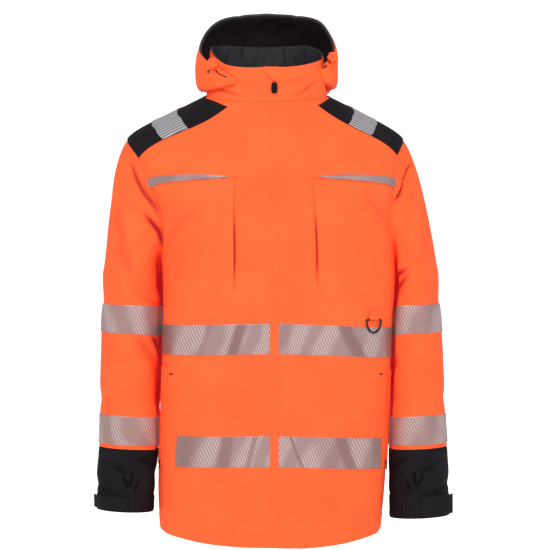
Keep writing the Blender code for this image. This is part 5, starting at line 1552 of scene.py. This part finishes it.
for name, (_, sewn, flat) in HOOD_PANELS.items():
    grid = finer(hood, hood_panel(name), 0.0040)
    base = hood(*grid)
    dent = hood_dent(*grid, SEAM_DIP_WIDTH)
    rim = 0.0006 * (from_edges(base, "top") < 0.021)
    outside = dent - WALL - rim + rounded_over(base, WALL, "bottom top")
    outer, inner = (drawn_in(lift(hood, *grid, height), sewn, 0.00015) for height in (outside, dent))
    panel = shell("hood_cloth_" + name, inner, outer, grid[0] * 0.05, grid[1] * 0.2, ORANGE)
    belongs(panel, "hood_" + name, flat, base)
lining_ribs = np.concatenate([
    [LINING_FROM_RIB], SIDE_RIBS[1:], CENTRE_RIBS[1:], (12 - SIDE_RIBS[::-1])[1:-1], [12 - LINING_FROM_RIB],
])
grid = finer(hood, np.meshgrid(lining_ribs, HOOD_ROWS), 0.0045)
base = hood(*grid)
dent = hood_dent(*grid, 2 * SEAM_DIP_WIDTH) + 0.0016
over = unit((grid[1] - SHELL_TOP) / (1 - SHELL_TOP)) ** 1.5 * (0.0016 + WALL + 0.0006)
layers = [lift(hood, *grid, height) for height in (dent + LINING_WALL - 0.4 * over, dent - over)]
inside = shell("hood_inside", *layers, grid[0] * 0.05, grid[1] * 0.2, HOOD_LINING)
belongs(inside, "hood_lining", (0.62, 0.28), base)


# ---------------------------------------------------------------- drawcord ends of the hood
# The hood's rim is a channel for a drawcord. Each front end is gathered into a small ruffled
# knot of shell cloth, with a black eyelet beside it and black bar stitches that hold it down.

GATHERS = table("rib climb out rise", """
      .62 .97 .0071 .0055
    10.66 .97 .0084     0
""")
KNOT_HALF, KNOT_DEPTH = 0.0092, 0.0064
KNOT_VALLEYS = {"right": (8, 62, 118, 171, 236, 300), "left": (30, 84, 146, 205, 252, 322)}
EYELETS = {"right": (0.98, 0.74), "left": (10.95, 0.90)}
BAR_STITCHES = {
    "right": [
        [(0.52, 0.84), (0.40, 0.70), (0.30, 0.62), (0.18, 0.54)],
        [(1.44, 0.24), (1.50, 0.21), (1.58, 0.20)],
    ],
    "left": [[(11.78, 0.90), (11.84, 0.82), (11.90, 0.74)], [(11.58, 0.86), (11.72, 0.78)]],
}
EYELET_RADIUS, EYELET_WIRE = 0.0021, 0.0008


def grained(name, light, dark, roughness, metallic, scale, depth, painted_glow=None, gloss=0.3):
    """A hard or twisted surface: two close tones, a fine uneven grain, and a painted glow where one is given.
    """
    material, tree, shader = new_material(name, Metallic=metallic, Specular_IOR_Level=gloss)
    place = add(tree, "TexCoord").outputs["Object"]
    grain = add(tree, "TexNoise", Vector=place, Scale=scale, Detail=4.0).outputs["Fac"]
    tone = add(tree, "MixRGB", Fac=grain, Color1=dark, Color2=light)
    put(tree, shader.inputs["Base Color"], tone.outputs["Color"])
    put(tree, shader.inputs["Roughness"], ramp(tree, grain, 0.0, 1.0, roughness - 0.08, roughness + 0.08))
    bumped(tree, shader, grain, 0.4, depth)
    if painted_glow:
        put(tree, shader.inputs["Emission Color"], painted_glow)
        put(tree, shader.inputs["Emission Strength"], 1.0)
    return material


MOULDED = grained("moulded black plastic", (0.007, 0.006, 0.008), (0.004, 0.0035, 0.005), 0.6, 0.0, 900.0,
                  0.00005, gloss=0.12)


def upright_frame(surface, a, b):
    """A point of a surface, the level way along it (to the wearer's left), straight out, and up."""
    a, b = np.array([float(a)]), np.array([float(b)])
    point = surface(a, b)[0]
    out = lift(surface, a, b, 1.0)[0] - point
    out[2] = 0.0
    out /= np.linalg.norm(out)
    up = np.array([0.0, 0.0, 1.0])
    return point, np.cross(up, out), out, up


def placed(frame, local):
    """Local points (along, out, up) in the part's frame."""
    point, along, out, up = frame
    local = np.asarray(local, float)
    return point + local[..., :1] * along + local[..., 1:2] * out + local[..., 2:] * up


def all_round(count):
    """Evenly spaced turns of a full circle."""
    return np.arange(count) * 2 * math.pi / count


def skin(points, loop=False):
    """Points, faces and cut of a closed skin through rings of points; without a loop its ends are closed."""
    rows, columns = points.shape[:2]
    i, j = np.meshgrid(np.arange(rows if loop else rows - 1), np.arange(columns), indexing="ij")
    corners = [(i, j), (i, j + 1), (i + 1, j + 1), (i + 1, j)]
    faces = np.stack([(a % rows) * columns + b % columns for a, b in corners], -1).reshape(-1, 4).tolist()
    size = [np.linalg.norm(np.diff(points, axis=axis), axis=-1).mean() for axis in (1, 0)]
    cut = np.stack([np.stack([b * size[0], a * size[1]], -1) for a, b in corners], -2).reshape(-1, 2).tolist()
    places = points.reshape(-1, 3).tolist()
    for row in () if loop else (0, rows - 1):
        places.append(points[row].mean(axis=0).tolist())
        for j in range(columns):
            a, b = row * columns + j, row * columns + (j + 1) % columns
            faces.append([b, a, len(places) - 1] if row == 0 else [a, b, len(places) - 1])
            cut += [((j + k) * size[0], row * size[1]) for k in (0, 1, 0)]
    if inside_out(np.array([[places[k] for k in (face[0], face[1], face[2], face[-1])] for face in faces])):
        place, turned = 0, []
        for k, face in enumerate(faces):
            turned += cut[place:place + len(face)][::-1]
            place += len(face)
            faces[k] = face[::-1]
        cut = turned
    return places, faces, cut


def tube(path, facing, radius, loop=False, sides=10):
    """A round or oval wire along a path, seen from the way it faces; radius is one number or two."""
    path = np.asarray(path, float)
    ahead = np.roll(path, -1, 0) - np.roll(path, 1, 0) if loop else np.gradient(path, axis=0)
    ahead /= np.linalg.norm(ahead, axis=1, keepdims=True)
    side = np.cross(ahead, facing)
    side /= np.linalg.norm(side, axis=1, keepdims=True)
    up = np.cross(side, ahead)
    wide, high = np.broadcast_to(radius, 2)
    turn = all_round(sides)[None, :, None]
    return skin(path[:, None] + wide * side[:, None] * np.cos(turn) + high * up[:, None] * np.sin(turn), loop)


def made_of(name, parts, finish, node=None, ride="garment"):
    """One piece from one or more skins."""
    places, faces, cut = [], [], []
    for part in parts:
        faces += [[k + len(places) for k in face] for face in part[1]]
        places += part[0]
        cut += part[2]
    mesh = bpy.data.meshes.new(name)
    mesh.from_pydata(places, [], faces)
    mesh.uv_layers.new(name="cut").data.foreach_set("uv", np.array(cut).ravel())
    mesh.materials.append(finish)
    mesh.shade_smooth()
    mesh.set_sharp_from_angle(angle=math.radians(42))
    made = add_object(name, mesh)
    belongs(made, node, ride=ride)
    return made


for i, side in enumerate(("right", "left")):
    point, along, out, up = upright_frame(hood, GATHERS["rib"][i], GATHERS["climb"][i])
    centre = (point - GATHERS["out"][i] * out + GATHERS["rise"][i] * up, along, out, up)
    rise, turn = np.meshgrid(np.linspace(0.10, math.pi - 0.10, 26), all_round(108), indexing="ij")
    valley = np.zeros(turn.shape)
    for k, degrees in enumerate(KNOT_VALLEYS[side]):
        away = (turn - math.radians(degrees) - 0.25 * np.cos(rise) + math.pi) % (2 * math.pi) - math.pi
        valley = np.maximum(valley, (0.75 + 0.25 * math.cos(k * 2.1)) * near(away, 0.17))
    reach = KNOT_HALF * np.sin(rise) ** 0.75 * (1.10 - 0.34 * valley + 0.05 * np.sin(2 * turn + i))
    dimple = 0.42 * near(rise, 0.55) + 0.16 * valley * np.sin(rise)
    depth = -KNOT_DEPTH * np.cos(rise) * (1 - dimple)
    knot = placed(centre, np.stack([reach * np.cos(turn), depth, reach * np.sin(turn)], -1))
    gather = made_of("gather_" + side, [skin(knot)], ORANGE, "hood_gather_" + side)

    rib, climb = (np.array([value]) for value in EYELETS[side])
    at = lift(hood, rib, climb, -(WALL + 0.0007))[0]
    way = at - lift(hood, rib, climb, 0.0)[0]
    way /= np.linalg.norm(way)
    level = np.cross(way, (0.0, 0.0, 1.0))
    level /= np.linalg.norm(level)
    turn = all_round(28)[:, None]
    rim = at + EYELET_RADIUS * (level * np.cos(turn) + np.cross(level, way) * np.sin(turn))
    disc = [at - way * 0.0006 + share * (rim - at) for share in (0.98, 0.5)]
    disc = skin(np.stack([disc[1] - way * 0.0003, *disc]))
    made_of("eyelet_" + side, [tube(rim, way, EYELET_WIRE, loop=True), disc], MOULDED)

    bars = []
    for line in BAR_STITCHES[side]:
        knots = np.linspace(0, len(line) - 1, 12)
        rib, climb = (np.interp(knots, np.arange(len(line)), values) for values in zip(*line))
        bars.append(tube(lift(hood, rib, climb, -(WALL + 0.0005)), way, (0.0010, 0.0007), sides=8))
    made_of("bar_stitches_" + side, bars, BLACK)


# ---------------------------------------------------------------- front zip, slider and puller
# A black zip behind the two front edges: woven tape with moulded teeth on its inner side, a
# dark lacquered slider held in the collar, and a moulded puller that swings on its wire bail.

ZIP_HALF, ZIP_WALL, BEHIND_FRONT, BEHIND_COLLAR = 2.9, 0.0012, 0.0008, WALL + 0.0008
ZIP_BODY_TOP_Z, ZIP_COLLAR_SHARES = -0.060, np.linspace(-0.10, 0.97, 26)
SLIDER_AROUND, SLIDER_SHARE = 8.9, 0.46
SLIDER_HALF, SLIDER_HALF_LENGTH, SLIDER_WALL = 0.0040, 0.0052, 0.0026
BAIL_HALF_LENGTH, BAIL_OUT, BAIL_WIRE = 0.0033, 0.0056, 0.0007
PULLER_OUT, PULLER_RISE, PULLER_HALF, PULLER_LENGTH = 0.0043, 0.0010, 0.0054, 0.0150
PULLER_TOP, PULLER_FOOT = PULLER_RISE + 0.0036, PULLER_RISE - PULLER_LENGTH
PULLER_WINDOW, PULLER_HALF_WALL, PULLER_RIBS = (0.0023, 0.0024), 0.0011, (-0.0060, -0.0080, -0.0100, -0.0120)
# The slider's block, from the tape outwards: how far out each section lies, and its size.
SLIDER_LEVELS = (
    (0.0002, 0.90), (0.0006, 1.0), (0.0011, 1.0), (0.0013, 0.90), (0.0016, 0.90), (0.0018, 1.0),
    (SLIDER_WALL - 0.0003, 1.0), (SLIDER_WALL + 0.0003, 0.86), (SLIDER_WALL + 0.0003, 0.3),
)
ZIP_TAPE = woven("black zip tape", (0.014, 0.013, 0.015), (0.008, 0.007, 0.009), 0.75, 500.0, 0.0002,
                 gloss=0.2)
LACQUERED = grained("dark lacquered metal", (0.045, 0.045, 0.050), (0.022, 0.022, 0.025), 0.42, 0.7, 160.0,
                    0.00003)


def repeated():
    """Lays one small rounded grain after another along every line of a mesh of edges."""
    tree = bpy.data.node_groups.new("run of grains", "GeometryNodeTree")
    tree.interface.new_socket("Lines", in_out="INPUT", socket_type="NodeSocketGeometry")
    for name in ("Pitch", "Length", "Deep", "Wide"):
        tree.interface.new_socket(name, in_out="INPUT", socket_type="NodeSocketFloat").default_value = 0.001
    tree.interface.new_socket("Finish", in_out="INPUT", socket_type="NodeSocketMaterial")
    tree.interface.new_socket("Grains", in_out="OUTPUT", socket_type="NodeSocketGeometry")
    given = add(tree, "NodeGroupInput").outputs
    curve = add(tree, "GeometryNodeMeshToCurve", Mesh=given["Lines"]).outputs["Curve"]
    spaced = add(tree, "GeometryNodeResampleCurve", mode="LENGTH", Curve=curve, Length=given["Pitch"])
    grain = add(tree, "GeometryNodeMeshIcoSphere", Radius=0.5, Subdivisions=1)
    tangent = add(tree, "GeometryNodeInputTangent").outputs["Tangent"]
    turned = add(tree, "FunctionNodeAlignRotationToVector", axis="X", Vector=tangent)
    uneven = add(tree, "FunctionNodeRandomValue", Seed=7)
    plain = [socket for socket in (*uneven.inputs, *uneven.outputs) if socket.type == "VALUE"]
    low, high = (socket for socket in plain if socket.name in ("Min", "Max"))
    low.default_value, high.default_value = 0.9, 1.06
    share = next(socket for socket in plain if socket.is_output)
    length = step(tree, "MULTIPLY", given["Length"], share)
    size = add(tree, "CombineXYZ", X=length, Y=given["Deep"], Z=given["Wide"]).outputs[0]
    laid = add(tree, "GeometryNodeInstanceOnPoints", Points=spaced.outputs["Curve"],
               Instance=grain.outputs["Mesh"], Rotation=turned.outputs["Rotation"], Scale=size)
    whole = add(tree, "GeometryNodeRealizeInstances", Geometry=laid.outputs["Instances"])
    whole = whole.outputs["Geometry"]
    finish = add(tree, "GeometryNodeSetMaterial", Geometry=whole, Material=given["Finish"])
    add(tree, "NodeGroupOutput", Grains=finish.outputs["Geometry"])
    return tree


RUN = repeated()


def run_of(name, lines, finish, pitch, size):
    """One plain mesh of grains along the lines, each grain (length, deep, wide)."""
    edges, count = [], 0
    for line in lines:
        edges += [(count + i, count + i + 1) for i in range(len(line) - 1)]
        count += len(line)
    mesh = bpy.data.meshes.new(name)
    mesh.from_pydata(np.concatenate(lines).tolist(), edges, [])
    made = add_object(name, mesh)
    laid = made.modifiers.new("run", "NODES")
    laid.node_group = RUN
    sockets = {item.name: item.identifier for item in RUN.interface.items_tree if item.in_out == "INPUT"}
    for key, value in zip(("Pitch", "Length", "Deep", "Wide"), (pitch, *size)):
        laid[sockets[key]] = value
    laid[sockets["Finish"]] = finish
    bpy.context.view_layer.update()
    graph = bpy.context.evaluated_depsgraph_get()
    plain = bpy.data.meshes.new_from_object(made.evaluated_get(graph))
    made.modifiers.clear()
    made.data = plain
    plain.shade_smooth()
    belongs(made, None)


front_around, front_z = (values[:, 0] for values in PANELS["front_right"])
yoke_around, yoke_z = (values[1, 0] for values in PANELS["yoke_front_right"])
knots_z = np.concatenate([front_z, [yoke_z, ZIP_BODY_TOP_Z]])
top_around = math.degrees(math.atan((ZIP_X + 0.0065) / 0.098))
knots_around = np.concatenate([front_around, [yoke_around, top_around]])
strip_z = np.linspace(knots_z[0], knots_z[-1], 120)[:, None]
strip_around = np.interp(strip_z, knots_z, knots_around)
across = np.linspace(ZIP_HALF, -ZIP_HALF, 7)


def behind_front(across, extra):
    """Points behind the front edges, from the hem to the collar's top, at angles from the zip line."""
    low = lift(body, strip_around + across, strip_z + 0 * across, -BEHIND_FRONT - extra)
    high = lift(collar, SLIDER_AROUND + across + 0 * ZIP_COLLAR_SHARES[:, None],
                ZIP_COLLAR_SHARES[:, None] + 0 * across, -BEHIND_COLLAR - extra)
    return np.concatenate([low, high])


inner, outer = behind_front(across, ZIP_WALL), behind_front(across, 0.0)
along = np.linspace(0, 0.85, len(inner))[:, None]
zip_cloth = shell("zip_tape", inner, outer, across[None] * 0.0022, along, ZIP_TAPE)
belongs(zip_cloth, "front_zip", (0.014, 0.85),
        inner)
teeth = [
    behind_front(np.array([turn]), ZIP_WALL + 0.0004)[start:, 0] for turn, start in ((0.45, 2), (-0.45, 3))
]
run_of("zip_teeth", teeth, MOULDED, 0.0023, (0.0015, 0.0016, 0.0030))

SLIDER_FRAME = upright_frame(collar, SLIDER_AROUND, SLIDER_SHARE)


def squared_off(turn, power):
    """A circle of radius one pressed towards a square."""
    return [np.sign(wave) * np.abs(wave) ** power for wave in (np.cos(turn), np.sin(turn))]


turn = all_round(32)
x, z = squared_off(turn, 0.55)
x, z = x * SLIDER_HALF * (1 - 0.16 * unit(-z)), z * SLIDER_HALF_LENGTH
block = np.stack([np.stack([x * scale, 0 * turn + out, z * scale], -1) for out, scale in SLIDER_LEVELS])
bend = np.linspace(0, math.pi, 25)
bail_foot = SLIDER_WALL - 0.0004
arch = bail_foot + (BAIL_OUT - SLIDER_WALL + 0.0004) * np.sin(bend) ** 0.6
arch = placed(SLIDER_FRAME, np.stack([0 * bend, arch, BAIL_HALF_LENGTH * np.cos(bend)], -1))
made_of("slider", [skin(placed(SLIDER_FRAME, block)), tube(arch, SLIDER_FRAME[1], BAIL_WIRE)],
        LACQUERED, "zip_slider")


def pierced(hole, outline, low, high, bevel):
    """Sections of a plate round a hole, as plane points and thickness; both loops match point for point."""
    way = outline - hole
    way /= np.linalg.norm(way, axis=1, keepdims=True)
    section = ((outline, 0, low + bevel), (outline, -1, low), (hole, 1, low), (hole, 0, low + bevel),
               (hole, 0, high - bevel), (hole, 1, high), (outline, -1, high), (outline, 0, high - bevel))
    return np.stack([
        np.column_stack([loop + side * bevel * way, np.full(len(loop), out)]) for loop, side, out in section
    ], 1)


box = np.stack(squared_off(all_round(48), 0.5), -1)
hole = box * PULLER_WINDOW + (0.0, PULLER_RISE - 0.0030)
edge = box * (PULLER_HALF, (PULLER_TOP - PULLER_FOOT) / 2) + (0.0, (PULLER_TOP + PULLER_FOOT) / 2)
waist = (PULLER_FOOT, PULLER_FOOT + 0.004, PULLER_TOP - 0.006, PULLER_TOP), (0.94, 1.0, 0.94, 0.90)
edge[:, 0] *= np.interp(edge[:, 1], *waist)
low, high = PULLER_OUT - PULLER_HALF_WALL, PULLER_OUT + PULLER_HALF_WALL
plate = pierced(hole, edge, low, high, 0.0005)[..., (0, 2, 1)]
ribs = []
for z in PULLER_RIBS:
    line = np.linspace((-0.0030, PULLER_OUT + 0.0010, z), (0.0030, PULLER_OUT + 0.0010, z), 5)
    ribs.append(tube(placed(SLIDER_FRAME, line), SLIDER_FRAME[2], (0.0005, 0.0004), sides=8))
plate = skin(placed(SLIDER_FRAME, plate), loop=True)
made_of("puller", [plate, *ribs], MOULDED, "zip_pull_tab", "zip_pull")


# ---------------------------------------------------------------- D-ring on its loop
# A dark lacquered wire D for an identity card, hanging free in a folded loop of narrow shell
# webbing that is caught in the tape's edge seam on the wearer's left chest.

RING_AROUND, RING_Z, RING_OUT = 59.4, -0.3876, 0.0042
RING_WIRE, RING_HALF, RING_DROP, RING_CORNER = 0.0017, 0.0156, 0.0222, 0.0020
LOOP_HALF, LOOP_HOLE, LOOP_WALL, LOOP_TOP = 0.0100, 0.00175, 0.0012, 0.0170

RING_FRAME = upright_frame(body, RING_AROUND, RING_Z)
bend = np.linspace(0.0, math.pi, 45)
drop = -RING_CORNER - (RING_DROP - RING_CORNER) * np.sin(bend)
bow = np.stack([RING_HALF * np.cos(bend), 0 * bend + RING_OUT, drop], -1)
straight = RING_HALF - RING_CORNER
bar = np.linspace((RING_CORNER - RING_HALF, RING_OUT, 0.0), (straight, RING_OUT, 0.0), 12)
corners = [[(way * (straight + RING_CORNER * math.sin(a)), RING_OUT, RING_CORNER * (math.cos(a) - 1))
            for a in np.linspace(0.3, math.pi / 2 - 0.3, 4)[::way]] for way in (1, -1)]
ring_path = placed(RING_FRAME, np.concatenate([bar, corners[0], bow, corners[1]]))
wire = tube(ring_path, RING_FRAME[2], RING_WIRE, loop=True, sides=14)
made_of("ring", [wire], LACQUERED, "d_ring", "id_ring")

bend = np.radians(np.linspace(150.0, 390.0, 21))
hole = np.stack([LOOP_HOLE * np.cos(bend), LOOP_HOLE * np.sin(bend)], -1)
hole = np.concatenate([hole, [(0.0009, 0.0034), (0.00015, 0.0052), (-0.00015, 0.0052), (-0.0009, 0.0034)]])
reach = LOOP_HOLE + LOOP_WALL
edge = np.stack([reach * np.cos(bend), reach * np.sin(bend)], -1)
edge = np.concatenate([edge, [(0.0019, 0.0080), (-0.0004, LOOP_TOP), (-reach, LOOP_TOP), (-reach, 0.0080)]])
band = pierced(hole, edge, -LOOP_HALF, LOOP_HALF, 0.0004)[..., (2, 0, 1)] + (0.0, RING_OUT, 0.0)
band = skin(placed(RING_FRAME, band), loop=True)
loop = made_of("ring_loop", [band], ORANGE, "d_ring_loop")


# ---------------------------------------------------------------- pulls of the hand pockets
# A short moulded black pull lies at the foot of each hand pocket's zip, and a black bar of
# stitches closes the zip's top end.

PULL_TOP, PULL_FOOT, ZIP_END = (72.0, -0.630), (73.2, -0.645), (66.5, -0.481)
for side, sign in SIDES:
    high, low, bar = ((sign * around, z) for around, z in (PULL_TOP, PULL_FOOT, ZIP_END))
    around, z = np.linspace(high, low, 9).T
    facing = lift(body, around, z, 1.0)[4] - body(around, z)[4]
    pull = tube(lift(body, around, z, ON_PANEL + TAPE_WALL + 0.0016), facing, (0.0017, 0.0010), sides=12)
    around, z = np.linspace((bar[0] - 1.4, bar[1]), (bar[0] + 1.4, bar[1]), 5).T
    stitch = tube(lift(body, around, z, ON_PANEL + 0.0004), facing, (0.0009, 0.0007), sides=8)
    made_of("pocket_pull_" + side, [pull, stitch], MOULDED)


# ---------------------------------------------------------------- stitching
# Lockstitch in polyester thread: orange along the edges, hem and pockets, grey along the tapes
# and black round the patches and closing tabs. About 30 stitches to 100 mm.

STITCH_PITCH, STITCH = 0.0033, (0.0025, 0.0007, 0.0007)
# How far in from an edge each row of stitches runs.
NEAR_EDGE, NEAR_SEAM, ON_YOKE, FRONT_EDGE, COLLAR_EDGE, HOOD_SEAM, HOOD_RIM, TAB_EDGE = (
    0.0022, 0.0042, 0.0042, 0.0072, 0.0070, 0.0045, 0.0200, 0.0026)
POCKET_STITCH = {"right": (0.030, 0.18, 0.0002), "left": (0.040, 0.06, 0.0011)}
SUNK = 0.0002
# Heights of the black stitch rows across the D-ring's loop: the top row holds the loop down, and the four low
# rows, packed at the loop's fold, are a dark line painted for the shade under it.
RING_BARS_AND_SHADE = (0.0002, -0.0004, -0.0010, -0.0016, 0.0140)
# The orange thread has a constant red painted glow, like the shell cloth.
ORANGE_THREAD = grained("orange thread", (0.80, 0.11, 0.022), (0.66, 0.075, 0.016), 0.6, 0.0, 1500.0, 0.0001,
                        painted_glow=(0.20, 0.002, 0.004))
GREY_THREAD = grained("grey thread", (0.40, 0.30, 0.29), (0.28, 0.20, 0.19), 0.6, 0.0, 1500.0, 0.0001)
BLACK_THREAD = grained("black thread", (0.020, 0.018, 0.021), (0.010, 0.009, 0.011), 0.6, 0.0, 1500.0, 0.0001)


def beside(surface, coarse, side, inset):
    """The line that runs a set distance in from one side of a grid."""
    a, b = finer(surface, coarse, 0.004, close_to_edges=False)
    if side in ("first", "last"):
        a, b = a.T, b.T
    if side in ("top", "last"):
        a, b = a[::-1], b[::-1]
    steps = np.linalg.norm(np.diff(surface(a, b), axis=0), axis=-1)
    run = np.concatenate([np.zeros((1, a.shape[1])), np.cumsum(steps, axis=0)])
    return [
        np.array([np.interp(inset, run[:, j], values[:, j]) for j in range(a.shape[1])]) for values in (a, b)
    ]


def sew(lines, surface, coarse, edges, inset, height):
    """Adds the line of stitches that runs inside each named side of a grid."""
    for edge in edges.split():
        lines.append(lift(surface, *beside(surface, coarse, edge, inset), height))


def sew_hood(name):
    """The rim's line of stitches on one panel of the hood, and those beside its seams."""
    for edge in ("top", *HOOD_PANELS[name][1].split()):
        inset, height = (HOOD_RIM, -WALL - SUNK) if edge == "top" else (HOOD_SEAM, -WALL + SUNK)
        line = beside(hood, hood_panel(name), edge, inset)
        orange.append(lift(hood, *line, hood_dent(*line, SEAM_DIP_WIDTH) + height))


orange, grey, black = [], [], []
for name, grid in PANELS.items():
    if "front" in name:
        sew(orange, body, grid, "first", FRONT_EDGE, WALL)
    if "yoke" in name:
        part = part_of(name, slice(None), slice(0, TIP_COLUMN + 1))
        sew(orange, body, part, "bottom", ON_YOKE, WALL - SUNK)
    else:
        sew(orange, body, grid, "bottom", HEM_FOLD - 0.003, WALL + HEM_THICKER)
for side, sign in SIDES:
    inset, share, sunk = POCKET_STITCH[side]
    around, z = beside(body, chest_pocket(side), "first", inset)
    gape = read(POCKET_GAPE, "gape", z) * share
    orange.append(lift(body, around, z, ON_PANEL + POCKET_WALL + gape - sunk)[z > POCKET_BOTTOM_Z + 0.012])
    for edge in ("first", "last"):
        around, z = beside(body, hand_pocket(side), edge, NEAR_EDGE)
        orange.append(lift(body, around, z, ON_PANEL + STRIP_WALL)[z < CHEST_TAPE[0] - HAND_POCKET_DROP])
    sew(orange, collar, collar_half(side), "top", COLLAR_EDGE, 0.0)
    sew_hood("side_" + side)
    surface = SLEEVES[side]
    closed = np.append(STATIONS, 360.0)
    ends = down(np.array((SLEEVE_TAPES[1][0], SLEEVE_END_Z)))
    sew(orange, surface, np.meshgrid(closed, ends), "top", NEAR_SEAM, sign * (WALL - SUNK))
    for span in SLEEVE_TAPES:
        sleeve_ring = np.meshgrid(closed, down(np.array(span[::-1])))
        sew(grey, surface, sleeve_ring, "bottom top", NEAR_EDGE, sign * (ON_PANEL + TAPE_WALL))
    for ring in RINGS:
        strip = ring_strip(ring, "front_" + side)
        sew(grey, body, strip, "bottom top first", NEAR_EDGE, ON_PANEL + TAPE_WALL)
    for name in (f"yoke_front_{side}", f"yoke_back_{side}"):
        strip = part_of(name, slice(0, 2), slice(TIP_COLUMN + 1, None))
        sew(grey, body, strip, "top", NEAR_EDGE, ON_PANEL + TAPE_WALL)
    patch_grid, segment_grid = patch_strips(side)
    sew(grey, body, segment_grid, "first last", NEAR_EDGE, ON_PATCH + TAPE_WALL)
    sew(black, body, patch_grid, "first bottom top", NEAR_EDGE, ON_PANEL + PATCH_WALL)
    for edge in ("bottom", "top", "last"):
        around, drop = beside(surface, tab_corners(side), edge, TAB_EDGE)
        points = surface(around, drop)
        way = lift(surface, around, drop, sign * 1.0) - points
        black.append(points + way * (tab_height(side, around) + TAB_WALL)[:, None])
sew_hood("centre")
for ring in RINGS:
    sew(grey, body, ring_strip(ring, "back"), "bottom top", NEAR_EDGE, ON_PANEL + TAPE_WALL)
# The four low rows stand in for the shade under the loop's fold.
for z in RING_BARS_AND_SHADE:
    half, out = LOOP_HALF - NEAR_EDGE, RING_OUT + 0.0030
    black.append(placed(RING_FRAME, np.linspace((-half, out, z), (half, out, z), 5)))
run_of("stitches_orange", orange, ORANGE_THREAD, STITCH_PITCH, STITCH)
run_of("stitches_grey", grey, GREY_THREAD, STITCH_PITCH, STITCH)
run_of("stitches_black", black, BLACK_THREAD, STITCH_PITCH, STITCH)
